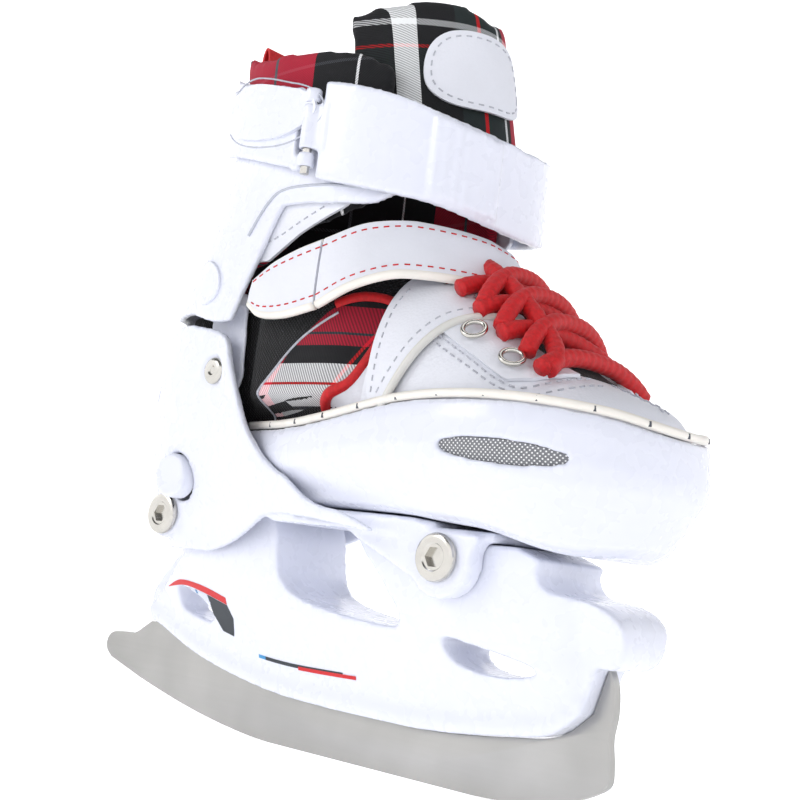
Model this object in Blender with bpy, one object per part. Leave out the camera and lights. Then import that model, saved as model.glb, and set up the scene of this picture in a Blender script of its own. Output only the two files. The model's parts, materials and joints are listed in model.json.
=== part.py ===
"""A child's size-adjustable ice skate: steel blade, plastic holder, two-part shell, cuff, straps and liner.

Frame: +X to the toe, +Y to the wearer's left, +Z up, in metres once built. The blade lies in the plane
y = 0 and its lowest stretch touches z = 0. It is a right-foot skate, so its outer side faces -Y.
Sizes below are in millimetres.
"""

import math

import bmesh
import bpy
from mathutils import Matrix, Vector

MM = 0.001

# Clearances
FIT = 0.3                     # between pieces that touch
SLIDE = 0.7                   # between pieces that slide past each other

# Blade and holder
BLADE_THICKNESS = 3.0
TANG_THICKNESS = 2.6
TANG_HEIGHT = 9.0
SOLE_HALF_WIDTH = 5.2         # of the holder where it grips the blade
TOWER_HALF_WIDTH = 17.5
NOSE_SWELL = 2.5
REAR_TOWER_TOP = 79.4
FRONT_TOWER_TOP = 74.6
BLADE_EDGE = ((-93, 34), (-68, 25), (-39, 19), (-14, 16.5), (32, 16), (48, 16.5), (71, 19), (92, 23),
              (102, 31))

# Through bolts that clamp the shell to the holder's towers
BOLT_HEAD_RADIUS = 7.3
BOLT_HEAD_HEIGHT = 2.4
BOLT_RADIUS = 3.0
SOCKET_RADIUS = 2.4
SOCKET_DEPTH = 1.8
BOLT_HOLE_RADIUS = BOLT_RADIUS + 0.3
FRONT_BOLT = (57.9, 69.0)
FRONT_BOLT_SEAT = 24.8
REAR_BOLT = (-73.0, 74.0)
REAR_BOLT_SEAT = 23.6
LUG_RADIUS = 12.0

# Heel shell: stations are height, back, centre of the side walls, half width
HEEL_WALL = 3.0
HEEL_STATIONS = (
    (60, -85, -56, 21.0), (74, -91, -55, 24.0), (90, -97, -52, 29.5), (105, -99, -48, 33.0),
    (124, -97, -42, 36.0), (142, -91, -36, 38.0), (165, -79.5, -24, 40.2), (185, -72.5, -14, 41.0),
    (212, -69.5, -10, 41.0), (238, -74, -10, 41.5), (256, -79, -10, 42.0),
)
MIDFOOT_FLARE = 5.5           # how much wider the shell is at the midfoot than at the heel
BAND_FLARE = 3.5              # and how much wider again in front of the column
FLARE_START = -50.0
FLARE_LENGTH = 40.0
HEEL_RIM = ((-100, 62), (-52, 62.5), (-38, 66), (-26, 71), (-12, 77.3), (11, 76.8), (36, 74.3))
HEEL_TOP = (
    (-100, 141), (-60, 141), (-50, 139.5), (-42, 138), (-34, 134), (-30, 124), (-23, 108), (-16, 99),
    (-8, 92.4), (-1, 89.5), (12, 82), (24, 79.8), (36, 75.8),
)
BAND_END = 36.0               # front end of the swept band under the toe shell
REAR_FLOOR = 79.8
FRONT_FLOOR = 75.0
FLOOR_THICKNESS = 3.0

# Toe shell, and the travel that sets the skate's size
TOE_WALL = 2.5
TOE_FRONT = 125.0
TOE_REAR = -36.0
SIZE_TRAVEL = 20.0
TOE_CURVE_START = 62.0        # where the side walls begin to close in round the toes
TOE_HALF_WIDTHS = ((-36, 27.3), (-22, 30.5), (-12, 33.3), (0, 36.4), (14, 40.0), (35, 42.4), (62, 44.0))
TOE_TOPS = ((-36, 105), (-12, 105), (14, 107), (50, 113), (82, 114), (112, 111.5), (125, 108))
TOE_BOTTOMS = ((-36, 84), (-14, 84), (-4, 81.3), (43, 81), (60, 79.6), (75, 78.4), (100, 73.6), (125, 77))

# Size lock
BUTTON = (-63.0, 87.5)
BUTTON_RADIUS = 7.8
BUTTON_FACE = 32.3
BUTTON_TRAVEL = 3.5
BUTTON_STEM_RADIUS = 3.5
BUTTON_HEAD_DEPTH = 6.0
BUTTON_STEM_TIP = -12.9
RACK_THICKNESS = 2.5
RACK_HALF_WIDTH = 9.0

# Cuff and its hinge at the ankle
ANKLE = (-42.0, 124.0)
RIVET_RADIUS = 3.0
RIVET_HEAD_RADIUS = 4.6
RIVET_SEAT = 35.2             # depth of the round recess the rivet's head lies in
CUFF_WALL = 2.6
ARM_INNER = 29.0              # the cuff's arms, which reach down inside the shell to the rivets
ARM_OUTER = 30.8
CUFF_BOTTOM = ((-100, 145), (-60, 144.6), (-50, 142.2), (-42, 140.6), (-33, 140.6), (-31, 150), (-28, 162),
               (-22, 174), (-14, 178.5), (8, 178), (22, 177.5), (29, 181))
CUFF_TOP = ((-100, 241), (-70, 238), (-45, 228), (-12, 219), (8, 209), (29, 200))
CUFF_FRONT = 29.0

# Cuff strap, its pin, and the buckle on the inner side
BAND_CENTRE = -9.0
BAND_FRONT_REACH = 64.6
BAND_HALF_WIDTH = 45.2
BAND_THICKNESS = 3.2
BAND_HEIGHTS = ((-80, 200, 238), (-52, 199, 228), (-12, 189, 220), (10, 184, 217), (30, 180, 212),
                (45, 177, 206), (57, 172, 201))
PIN_X = 0.0
PIN_Y = -44.3
PIN_RADIUS = 1.5
KNUCKLE_RADIUS = 2.9
KNUCKLE_HEIGHT = 8.0
ANCHOR_BACK = 128.0           # degrees round from the front
BUCKLE_END = -70.0            # where the strap ends, in degrees to the inner side
BUCKLE_BASE_FRONT = 9.0
BUCKLE_BASE_BACK = -38.0
BUCKLE_PIN = (-30.0, 46.8)
LEVER_GAP = 0.7
LEVER_THICKNESS = 2.4
LEVER_TIP = 22.0

# Soft parts
QUARTER_WALL = 2.2
QUARTER_BACK_CENTRE = -50.0
QUARTER_FRONT = 52.0
SOLE_NARROWING = 0.3          # share of the width that the rounded edge of the sole takes away
SOLE_EDGE_HEIGHT = 13.0
QUARTER_FLOOR = ((-95, 95.7), (-38, 95.7), (-20, 88), (60, 88))
QUARTER_TOP = ((-95, 146), (-40, 146), (-20, 150), (0, 155), (16, 158), (30, 155), (52, 143))
QUARTER_UPPER = ((-50, 26.4), (-31.5, 26.8), (-25, 33), (-16, 35.6), (0, 36.4), (14, 35.4), (22, 32.5),
                 (28, 31), (52, 28))
QUARTER_LEAN = ((-50, 0.0), (-30, 0.02), (0, 0.12), (16, 0.25), (30, 0.5), (45, 0.8), (52, 0.85))
INSOLE_THICKNESS = 2.4
INSOLE_HALF_WIDTHS = ((-84, 4), (-76, 8), (-60, 12), (-38, 12), (-16, 11.5), (10, 15.5), (44, 18))
SHAFT_BOTTOM = ((-100, 153.5), (-30, 159), (-10, 168), (8, 174.5), (22, 180))
SHAFT_TOP = ((-100, 250), (-70, 248), (-45, 239), (-12, 234), (8, 231), (22, 225))
SHAFT_FRONT = 22.0
TONGUE_LOW = 184.0
TONGUE_HIGH = 254.0
TONGUE_LEAN = 0.24
TONGUE_CREST = 34.0           # degrees to each side where the top edge is highest
TONGUE_REACH = 56.0
TONGUE_HALF_WIDTH = 31.0
TONGUE_SPAN = 74.0
BADGE_SPAN = 40.0
BADGE_HEIGHTS = (213.0, 240.0)
VAMP_WALL = 2.0
VAMP_INSET = 3.4              # from the toe shell's edge, past its wall and binding
VAMP_REAR = 30.0
VAMP_BASE = 104.0
VAMP_CROWN = ((30, 162), (45, 157), (58, 150), (70, 142), (80, 133.5), (90, 127.5), (106, 121),
              (114, 117.5), (120, 112))
PIPING_RADIUS = 1.3
EYELET_WIRE = 0.8
EYESTAY_THICKNESS = 1.3
EYESTAY_REAR = 50.0
EYESTAY_FRONT = 88.0
EYELET_ROWS = (66.0, 80.0)
EYELET_ANGLE = 46.0
LACE_ROWS = (62.0, 70.0, 78.0, 86.0)
SHAFT_WALL = 6.0
TONGUE_WALL = 6.0
STRAP_THICKNESS = 2.4
STRAP_FOLD = (7.6, -40.1, 154.85)     # on the strap's outer face
LACE_RADIUS = 1.7
EYELET_RADIUS = 3.4

COLOURS = {
    "steel": ((0.40, 0.40, 0.39), 0.35, 1.0),
    "nickel": ((0.60, 0.58, 0.54), 0.22, 1.0),
    "white_plastic": ((0.80, 0.82, 0.90), 0.28, 0.0),
    "grey_plastic": ((0.55, 0.57, 0.63), 0.35, 0.0),
    "leatherette": ((0.85, 0.86, 0.90), 0.55, 0.0),
    "cream_trim": ((0.78, 0.75, 0.68), 0.60, 0.0),
    "black_mesh": ((0.012, 0.012, 0.016), 0.90, 0.0),
    "plaid": ((0.20, 0.02, 0.03), 0.90, 0.0),
    "red_cord": ((0.65, 0.01, 0.02), 0.80, 0.0),
    "foam": ((0.10, 0.10, 0.11), 0.95, 0.0),
}


# ---------------------------------------------------------------- helpers

def material(kind):
    """The Principled material of this kind, made once."""
    found = bpy.data.materials.get(kind)
    if found:
        return found
    colour, roughness, metallic = COLOURS[kind]
    made = bpy.data.materials.new(kind)
    made.use_nodes = True
    shader = made.node_tree.nodes["Principled BSDF"]
    shader.inputs["Base Color"].default_value = (*colour, 1.0)
    shader.inputs["Roughness"].default_value = roughness
    shader.inputs["Metallic"].default_value = metallic
    made.diffuse_color = (*colour, 1.0)
    return made


def smooth(stations, at):
    """Every value of the stations at this place, on a smooth curve through them (Catmull-Rom)."""
    last = len(stations) - 1
    at = min(max(at, stations[0][0]), stations[last][0])
    k = 0
    while k < last - 1 and at > stations[k + 1][0]:
        k += 1
    a, b = stations[k], stations[k + 1]
    before, after = stations[max(k - 1, 0)], stations[min(k + 2, last)]
    span = b[0] - a[0]
    t = (at - a[0]) / span
    values = []
    for c in range(1, len(a)):
        slope_a = (b[c] - before[c]) / (b[0] - before[0]) * span
        slope_b = (after[c] - a[c]) / (after[0] - a[0]) * span
        steep = 3.0 * abs(b[c] - a[c])
        slope_a = max(-steep, min(steep, slope_a))
        slope_b = max(-steep, min(steep, slope_b))
        values.append(
            (2 * t**3 - 3 * t**2 + 1) * a[c] + (t**3 - 2 * t**2 + t) * slope_a
            + (3 * t**2 - 2 * t**3) * b[c] + (t**3 - t**2) * slope_b
        )
    return values if len(values) > 1 else values[0]


def ease(t):
    """0 to 1 with a flat start and end."""
    t = min(max(t, 0.0), 1.0)
    return t * t * (3.0 - 2.0 * t)


def spread(start, end, count):
    """This many values from start to end, both included."""
    return [start + (end - start) * k / (count - 1) for k in range(count)]


def add_object(name, mesh, kind, origin=None):
    """Links the mesh as a named object, with its origin moved to the given point in mm."""
    mesh.materials.append(material(kind))
    mesh.shade_smooth()
    mesh.set_sharp_from_angle(angle=math.radians(35))
    made = bpy.data.objects.new(name, mesh)
    bpy.context.scene.collection.objects.link(made)
    if origin:
        place = Vector(origin) * MM
        mesh.transform(Matrix.Translation(-place))
        made.location = place
    return made


def mesh_of(points, faces):
    """A closed mesh from points in mm, with its normals outwards."""
    bm = bmesh.new()
    corners = [bm.verts.new(Vector(p) * MM) for p in points]
    for face in faces:
        bm.faces.new([corners[i] for i in face])
    bmesh.ops.remove_doubles(bm, verts=bm.verts, dist=1e-6)
    bmesh.ops.recalc_face_normals(bm, faces=bm.faces)
    mesh = bpy.data.meshes.new("mesh")
    bm.to_mesh(mesh)
    bm.free()
    return mesh


def combined(base, tools, operation):
    """The mesh after an exact Boolean of the base with each tool mesh in turn."""
    for tool in tools:
        holder = bpy.data.objects.new("base", base)
        cutter = bpy.data.objects.new("tool", tool)
        for item in (holder, cutter):
            bpy.context.scene.collection.objects.link(item)
        step = holder.modifiers.new("combine", "BOOLEAN")
        step.operation = operation
        step.solver = "EXACT"
        step.object = cutter
        bpy.context.view_layer.update()
        seen = holder.evaluated_get(bpy.context.evaluated_depsgraph_get())
        base = bpy.data.meshes.new_from_object(seen)
        bpy.data.objects.remove(holder)
        bpy.data.objects.remove(cutter)
    base.materials.clear()
    return base


def cut(base, *tools):
    return combined(base, tools, "DIFFERENCE")


def joined(base, *tools):
    return combined(base, tools, "UNION")


def prism(outline, y_low, y_high):
    """An outline in X and Z, extruded along Y."""
    count = len(outline)
    points = [(x, y, z) for y in (y_low, y_high) for x, z in outline]
    faces = [tuple(range(count)), tuple(range(2 * count - 1, count - 1, -1))]
    faces += [(i, (i + 1) % count, count + (i + 1) % count, count + i) for i in range(count)]
    return mesh_of(points, faces)


def disc_outline(centre, radius, segments=24):
    return [
        (centre[0] + radius * math.cos(math.tau * k / segments),
         centre[1] + radius * math.sin(math.tau * k / segments))
        for k in range(segments)
    ]


def turned(centre, profile, segments=24):
    """A solid turned about an axis along Y: profile points are distance along Y and radius."""
    x, z = centre
    rings = [
        [(x + r * math.cos(math.tau * k / segments), y, z + r * math.sin(math.tau * k / segments))
         for k in range(segments)]
        for y, r in profile
    ]
    return loft(rings)


def loft(rings):
    """A closed solid through rings with equal counts of points, capped at both ends."""
    count = len(rings[0])
    points = [p for ring in rings for p in ring]
    faces = [tuple(range(count)), tuple(range(len(points) - 1, len(points) - 1 - count, -1))]
    for r in range(len(rings) - 1):
        for k in range(count):
            a = r * count + k
            b = r * count + (k + 1) % count
            faces.append((a, b, b + count, a + count))
    return mesh_of(points, faces)


def u_shell(outer, inner, floor=False):
    """A wall that is U-shaped from above, mirrored in the plane y = 0.

    outer and inner are the right half's columns of points. The first column lies on the centre line and
    the last one at the open end. Each column runs from bottom to top. With floor, the two sides are joined
    across the bottom.
    """
    points = []
    index = {}
    for layer, columns in enumerate((outer, inner)):
        for i, column in enumerate(columns):
            for v, (x, y, z) in enumerate(column):
                for side in (1, -1):
                    if i == 0 and side == -1:
                        index[layer, i, v, side] = index[layer, i, v, 1]
                        continue
                    index[layer, i, v, side] = len(points)
                    points.append((x, side * (y if i else 0.0), z))
    last = len(outer) - 1
    top = len(outer[0]) - 1
    faces = []
    for side in (1, -1):
        for i in range(last):
            for v in range(top):
                for layer in (0, 1):
                    faces.append([index[layer, i, v, side], index[layer, i + 1, v, side],
                                  index[layer, i + 1, v + 1, side], index[layer, i, v + 1, side]])
            faces.append([index[0, i, top, side], index[0, i + 1, top, side],
                          index[1, i + 1, top, side], index[1, i, top, side]])
            if not floor:
                faces.append([index[0, i, 0, side], index[0, i + 1, 0, side],
                              index[1, i + 1, 0, side], index[1, i, 0, side]])
        for v in range(top):
            faces.append([index[0, last, v, side], index[0, last, v + 1, side],
                          index[1, last, v + 1, side], index[1, last, v, side]])
    if floor:
        for layer in (0, 1):
            for i in range(last):
                ring = [index[layer, i, 0, 1], index[layer, i + 1, 0, 1],
                        index[layer, i + 1, 0, -1], index[layer, i, 0, -1]]
                faces.append(list(dict.fromkeys(ring)))
        faces.append([index[0, last, 0, 1], index[0, last, 0, -1],
                      index[1, last, 0, -1], index[1, last, 0, 1]])
    return mesh_of(points, faces)


def ribbon(stations, thickness):
    """A flat band through stations of centre, width direction and width."""
    centres = [Vector(c) for c, _, _ in stations]
    rings = []
    for k, (_, across, width) in enumerate(stations):
        ahead = centres[min(k + 1, len(centres) - 1)] - centres[max(k - 1, 0)]
        side = Vector(across).normalized() * width / 2
        out = ahead.cross(side).normalized() * thickness / 2
        rings.append([centres[k] + side + out, centres[k] + side - out,
                      centres[k] - side - out, centres[k] - side + out])
    return loft(rings)


# ---------------------------------------------------------------- blade and holder

EDGE_PLACES = spread(-95, 101, 15)


def blade_edge(x):
    """Height of the holder's lower edge over the blade."""
    return smooth(BLADE_EDGE, x)


def tang_outline(gap):
    """The part of the blade inside the holder's slot, grown by the gap."""
    places = spread(-84 - gap, 98 + gap, 14)
    low = [(x, blade_edge(x) - 1.0) for x in places]
    high = [(x, blade_edge(x) + TANG_HEIGHT + gap) for x in reversed(places)]
    return low + high


def make_blade():
    tail = [(-121, 17), (-125.5, 19.5), (-126, 23), (-123.5, 26), (-119, 27.2), (-110, 27.6),
            (-104, 30.5), (-100, 33.2)]
    edge = [(x, blade_edge(x) - FIT) for x in EDGE_PLACES]
    front = [(101.7, 30.4), (105.2, 42.8), (106.0, 42.8), (107.8, 38), (108.2, 31), (107.6, 24),
             (108.5, 17), (108.2, 10.5), (104, 8.5), (98, 5.8), (86, 2.2), (74, 0.5)]
    bottom = [(62, 0), (-28, 0), (-52, 2), (-77, 6), (-102, 11.5)]
    exposed = prism(tail + edge + front + bottom, -BLADE_THICKNESS / 2, BLADE_THICKNESS / 2)
    tang = prism(tang_outline(0.0), -TANG_THICKNESS / 2, TANG_THICKNESS / 2)
    add_object("blade", joined(exposed, tang), "steel")


def holder_half_width(x, z):
    """Narrow over the blade, flaring up to the towers, and a little fuller at the nose."""
    above = z - blade_edge(min(x, 100))
    nose = NOSE_SWELL * ease((x - 70) / 30) * ease((60 - z) / 20)
    full = SOLE_HALF_WIDTH + (TOWER_HALF_WIDTH - SOLE_HALF_WIDTH) * ease((above - 4) / 40) + nose
    low = HEEL_STATIONS[0][0]
    back, centre, half = smooth(HEEL_STATIONS, max(z, low))
    reach = centre - back - HEEL_WALL - 1.5 + max(0.0, low - z) * 0.9
    share = min(max((centre - x) / reach, 0.0), 0.98)
    return min(full, (half - HEEL_WALL - 2 * FIT) * math.sqrt(1 - share ** 2))


def make_blade_holder():
    bottom = [(x, blade_edge(x)) for x in EDGE_PLACES]
    nose = [(105, 44), (111, 43.5), (114.5, 47), (116, 52), (113.5, 57.5), (106, 61.5), (93, 62.8),
            (89, 65.5), (88, 69), (89, 71.4)]
    front_tower = [(78, FRONT_TOWER_TOP), (16, FRONT_TOWER_TOP), (29, 61), (35.5, 52.5), (36.5, 48),
                   (32, 46.3), (10, 47.8), (-8, 51), (-16, 56), (-18.5, 63), (-20, 70)]
    rear_tower = [(-21, 76), (-25, REAR_TOWER_TOP), (-80, REAR_TOWER_TOP), (-79.5, 61.2), (-86, 60.5),
                  (-90, 56), (-98, 47.5), (-100, 42.5)]
    body = prism(bottom + nose + front_tower + rear_tower, -1, 1)
    rear_window = prism([(-78, 50), (-66, 46.5), (-58, 42.5), (-57, 38.2), (-64, 37.8), (-76, 40.5)], -3, 3)
    front_window = prism([(52, 47), (64, 44.5), (85, 40.8), (85.5, 38.2), (75, 36.6), (63, 36.8),
                          (55, 39.5)], -3, 3)
    body = cut(body, rear_window, front_window)
    bm = bmesh.new()
    bm.from_mesh(body)
    planes = [((0, 0, z * MM), (0, 0, 1)) for z in spread(24, 72, 9)]
    planes += [((x * MM, 0, 0), (1, 0, 0)) for x in (-60, -30, 0, 45, 80, 100)]
    for place, direction in planes:
        everything = bm.verts[:] + bm.edges[:] + bm.faces[:]
        bmesh.ops.bisect_plane(bm, geom=everything, plane_co=place, plane_no=direction)
    for vert in bm.verts:
        width = holder_half_width(vert.co.x / MM, vert.co.z / MM)
        vert.co.y = math.copysign(width * MM, vert.co.y)
    bm.to_mesh(body)
    bm.free()
    slot = prism(tang_outline(FIT), -TANG_THICKNESS / 2 - FIT, TANG_THICKNESS / 2 + FIT)
    holes = [prism(disc_outline(place, BOLT_HOLE_RADIUS), -30, 30) for place in (FRONT_BOLT, REAR_BOLT)]
    add_object("blade_holder", cut(body, slot, *holes), "white_plastic")


# ---------------------------------------------------------------- shell

def flare(x, z):
    """How much the shell widens towards the midfoot. The cuff above it has straight sides."""
    wider = MIDFOOT_FLARE * ease((x - FLARE_START) / FLARE_LENGTH) + BAND_FLARE * ease((x + 10) / 20)
    return wider * (1 - ease((z - 132) / 26))


def front_wrap(x, z):
    """The cuff's wings turn inwards round the shin, under the strap."""
    share = min(max((x - BAND_CENTRE) / (BAND_FRONT_REACH - BAND_THICKNESS), 0.0), 0.96)
    return 1 - ease((z - 150) / 30) * (1 - math.sqrt(1 - share ** 2))


def heel_point(t, z, inset, x_end):
    """A point of the heel's or the cuff's surface: t runs from 0 at the back to 1 at the open end."""
    back, centre, half = smooth(HEEL_STATIONS, z)
    turn = 0.45
    if t < turn:
        angle = t / turn * math.pi / 2
        reach = centre - back - inset
        return centre - reach * math.cos(angle) ** 0.9, -(half - inset) * math.sin(angle) ** 0.92, z
    x = centre + (x_end - centre) * (t - turn) / (1 - turn)
    return x, -((half + flare(x, z)) * front_wrap(x, z) - inset), z


def heel_column(t, low, high, rows, inset, x_end):
    """Points up the heel wall at t, between two edges given as functions of x."""
    column = []
    for r in range(rows):
        share = r / (rows - 1)
        z = 110.0
        for _ in range(8):
            x = heel_point(t, z, inset, x_end)[0]
            z = low(x) + (high(x) - low(x)) * share
        column.append(heel_point(t, z, inset, x_end))
    return column


def lug(sign):
    """One of the two cheeks that straddle the front tower, rounded about the front bolt."""
    x, z = FRONT_BOLT
    around = [(x + LUG_RADIUS * math.cos(a), z + LUG_RADIUS * math.sin(a))
              for a in spread(math.radians(10), math.radians(-145), 9)]
    outline = [(x + 14, FRONT_FLOOR + 1.5)] + around + [(24, 72), (16, FRONT_FLOOR + 1.5)]
    inner = TOWER_HALF_WIDTH + FIT
    return prism(outline, *sorted((sign * inner, sign * FRONT_BOLT_SEAT)))


def floor_slab():
    """The shell's floor: high over the rear tower, low under the sliding toe shell."""
    top = FLOOR_THICKNESS
    stations = ((-93, REAR_FLOOR, 10), (-84, REAR_FLOOR, 20), (-60, REAR_FLOOR, 24.5),
                (-40, REAR_FLOOR, 26), (-22, REAR_FLOOR, 27), (-13, FRONT_FLOOR, 27.5),
                (10, FRONT_FLOOR, 28.5), (34, FRONT_FLOOR, 26.5), (50, FRONT_FLOOR, 24.3),
                (66, FRONT_FLOOR, 23.6), (74, FRONT_FLOOR, 20))
    return loft([[(x, -w, z), (x, w, z), (x, w, z + top), (x, -w, z + top)] for x, z, w in stations])


def make_heel_shell():
    def rim(x):
        return smooth(HEEL_RIM, x)

    def edge(x):
        return smooth(HEEL_TOP, x)

    wall = u_wall(18, rim, edge, 0.0, HEEL_WALL, BAND_END, 7)
    shell = joined(wall, floor_slab(), lug(-1), lug(1))
    boss_inner = TOWER_HALF_WIDTH + FIT
    bosses = [prism(disc_outline(REAR_BOLT, 8.4), *sorted((s * boss_inner, s * REAR_BOLT_SEAT)))
              for s in (-1, 1)]
    shell = joined(shell, *bosses)
    bores = [prism(disc_outline(place, BOLT_HOLE_RADIUS), -60, 60) for place in (FRONT_BOLT, REAR_BOLT)]
    bores += [prism(disc_outline(REAR_BOLT, BOLT_HEAD_RADIUS + 0.6), *sorted((s * REAR_BOLT_SEAT, s * 60)))
              for s in (-1, 1)]
    button_bore = prism(disc_outline(BUTTON, BUTTON_RADIUS + FIT), -60, -10)
    rivet_bore = prism(disc_outline(ANKLE, RIVET_RADIUS + FIT), -60, 60)
    recesses = [prism(disc_outline(ANKLE, RIVET_HEAD_RADIUS + 1), *sorted((s * RIVET_SEAT, s * 60)))
                for s in (-1, 1)]
    vent = prism([(-89, 136), (-80, 128), (-83, 115), (-87, 120)], -60, 60)
    add_object("heel_shell", cut(shell, *bores, button_bore, rivet_bore, *recesses, vent), "white_plastic")


def toe_plan(t, scale, inset):
    """A point round the toe shell from above: t is 0 at the front and 1 at the rear end."""
    turn = 0.5
    widest = smooth(TOE_HALF_WIDTHS, TOE_CURVE_START)
    if t < turn:
        angle = t / turn * math.pi / 2
        reach = TOE_FRONT - TOE_CURVE_START
        forward = reach * (1 - (1 - scale) * 0.5) * math.cos(angle) ** 0.86
        x = TOE_CURVE_START + forward - inset * math.cos(angle)
        return x, -(widest * scale - inset) * math.sin(angle) ** 0.86
    x = TOE_CURVE_START + (TOE_REAR - TOE_CURVE_START) * (t - turn) / (1 - turn)
    return x, -(smooth(TOE_HALF_WIDTHS, x) * scale - inset)


def toe_bottom(x):
    return smooth(TOE_BOTTOMS, x)


def toe_column(t, inset):
    """Points up the toe shell: flat bottom, chine, full side, and an edge that turns in."""
    rows = ((0.60, 0.0), (0.72, 0.06), (0.88, 0.32), (0.97, 0.48), (1.0, 0.62), (0.985, 0.86), (0.955, 1.0))
    column = []
    for scale, share in rows:
        x, y = toe_plan(t, scale, inset)
        low = toe_bottom(x) + inset
        high = smooth(TOE_TOPS, x)
        column.append((x, y, low + (high - low) * share))
    return column


def make_toe_shell():
    places = spread(0.0, 1.0, 19)
    outer = [toe_column(t, 0.0) for t in places]
    inner = [toe_column(t, TOE_WALL) for t in places]
    inner = [[(max(x, TOE_REAR), y, z) for x, y, z in column] for column in inner]
    shell = u_shell(outer, inner, floor=True)
    slots = [prism(slot_outline(), *sorted((s * 30, s * 60))) for s in (-1, 1)]
    add_object("toe_shell", cut(shell, *slots), "white_plastic")


def slot_outline():
    """The side vent: a long slot with pointed ends."""
    x, z, half, high = 87.0, 99.6, 20.0, 3.3
    return [(x + half * math.cos(a), z - 0.05 * half * math.cos(a) + high * math.sin(a))
            for a in spread(0, math.tau, 17)[:-1]]


def at_height(column, z):
    """The point of a column of points at this height."""
    for low, high in zip(column, column[1:]):
        if low[2] <= z <= high[2]:
            t = (z - low[2]) / (high[2] - low[2])
            return tuple(a + (b - a) * t for a, b in zip(low, high))
    return column[-1]


def make_toe_vents():
    """Mesh inserts behind the two side vents."""
    heights = spread(94.5, 104.5, 5)
    for name, sign in (("vent_mesh_outer", 1), ("vent_mesh_inner", -1)):
        rings = []
        for t in spread(0.26, 0.49, 8):
            front = [at_height(toe_column(t, TOE_WALL + FIT), z) for z in heights]
            behind = [at_height(toe_column(t, TOE_WALL + FIT + 0.8), z) for z in reversed(heights)]
            rings.append([(x, sign * y, z) for x, y, z in front + behind])
        add_object(name, loft(rings), "grey_plastic")


# ---------------------------------------------------------------- fasteners and size lock

def make_bolts():
    """Bolt from the outer side, barrel nut from the inner side, both with wide flat heads."""
    places = (("front", FRONT_BOLT, FRONT_BOLT_SEAT), ("rear", REAR_BOLT, REAR_BOLT_SEAT))
    for name, centre, seat in places:
        head = seat + FIT
        top = head + BOLT_HEAD_HEIGHT
        socket = turned(centre, ((-top - 9, SOCKET_RADIUS), (-top + SOCKET_DEPTH, SOCKET_RADIUS)), 6)
        rim = BOLT_HEAD_RADIUS - 1.1
        profile = ((-top, rim), (-top + 0.8, BOLT_HEAD_RADIUS), (-head, BOLT_HEAD_RADIUS),
                   (-head, BOLT_RADIUS), (-0.5, BOLT_RADIUS))
        add_object(name + "_bolt", cut(turned(centre, profile), socket), "nickel")
        socket = turned(centre, ((top - SOCKET_DEPTH, SOCKET_RADIUS), (top + 9, SOCKET_RADIUS)), 6)
        profile = ((0.0, BOLT_RADIUS), (head, BOLT_RADIUS), (head, BOLT_HEAD_RADIUS),
                   (top - 0.8, BOLT_HEAD_RADIUS), (top, rim))
        add_object(name + "_barrel_nut", cut(turned(centre, profile), socket), "nickel")


def make_size_lock():
    """Push button with its stem, its return spring, and the notched rack it locks."""
    x, z = BUTTON
    back = -BUTTON_FACE + BUTTON_HEAD_DEPTH
    cap = ((-BUTTON_FACE, BUTTON_RADIUS - 0.8), (-BUTTON_FACE + 0.8, BUTTON_RADIUS), (back, BUTTON_RADIUS),
           (back, BUTTON_STEM_RADIUS), (BUTTON_STEM_TIP, BUTTON_STEM_RADIUS))
    add_object("size_button", turned(BUTTON, cap), "white_plastic", (x, back, z))
    turns = 3.0
    radius = BUTTON_STEM_RADIUS + 1.6
    wire = 0.45
    start = back + BUTTON_TRAVEL + 2 * FIT + wire
    end = BUTTON_STEM_TIP - 1.1
    curve = bpy.data.curves.new("spring", "CURVE")
    curve.dimensions = "3D"
    curve.bevel_depth = wire * MM
    curve.bevel_resolution = 1
    curve.use_fill_caps = True
    line = curve.splines.new("POLY")
    count = 34
    line.points.add(count - 1)
    for k in range(count):
        angle = math.tau * turns * k / (count - 1)
        spot = Vector((x + radius * math.cos(angle), start + (end - start) * k / (count - 1),
                       z + radius * math.sin(angle)))
        line.points[k].co = (*(spot * MM), 1.0)
    spring = bpy.data.objects.new("button_spring", curve)
    curve.materials.append(material("steel"))
    bpy.context.scene.collection.objects.link(spring)
    low = REAR_FLOOR + FLOOR_THICKNESS + SLIDE
    outline = [(-74, low), (TOE_REAR - FIT, low), (TOE_REAR - FIT, low + RACK_THICKNESS),
               (-74, low + RACK_THICKNESS)]
    rack = prism(outline, -RACK_HALF_WIDTH, RACK_HALF_WIDTH)
    notches = []
    for n in spread(-70, -50, 4):
        corners = [(n - 1.6, low - 1), (n + 1.6, low - 1), (n + 1.6, low + 9), (n - 1.6, low + 9)]
        notches.append(prism(corners, -RACK_HALF_WIDTH - 3, -RACK_HALF_WIDTH + 2.5))
    add_object("size_rack", cut(rack, *notches), "grey_plastic")


# ---------------------------------------------------------------- cuff

def cuff_low(x):
    return smooth(CUFF_BOTTOM, x)


def cuff_high(x):
    return smooth(CUFF_TOP, x)


def u_wall(count, low, high, inset, wall, x_end, rows=9):
    """A U-shaped wall on the heel's surface, between two edges, at this depth below the surface."""
    places = [k / (count - 1) for k in range(count)]
    outer = [heel_column(t, low, high, rows, inset, x_end) for t in places]
    inner = [heel_column(t, low, high, rows, inset + wall, x_end) for t in places]
    return u_shell(outer, inner)


def upright(centre, radius, low, high, segments=16):
    """A vertical round bar."""
    ring = [(centre[0] + radius * math.cos(math.tau * k / segments),
             centre[1] + radius * math.sin(math.tau * k / segments)) for k in range(segments)]
    return loft([[(x, y, z) for x, y in ring] for z in (low, high)])


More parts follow.
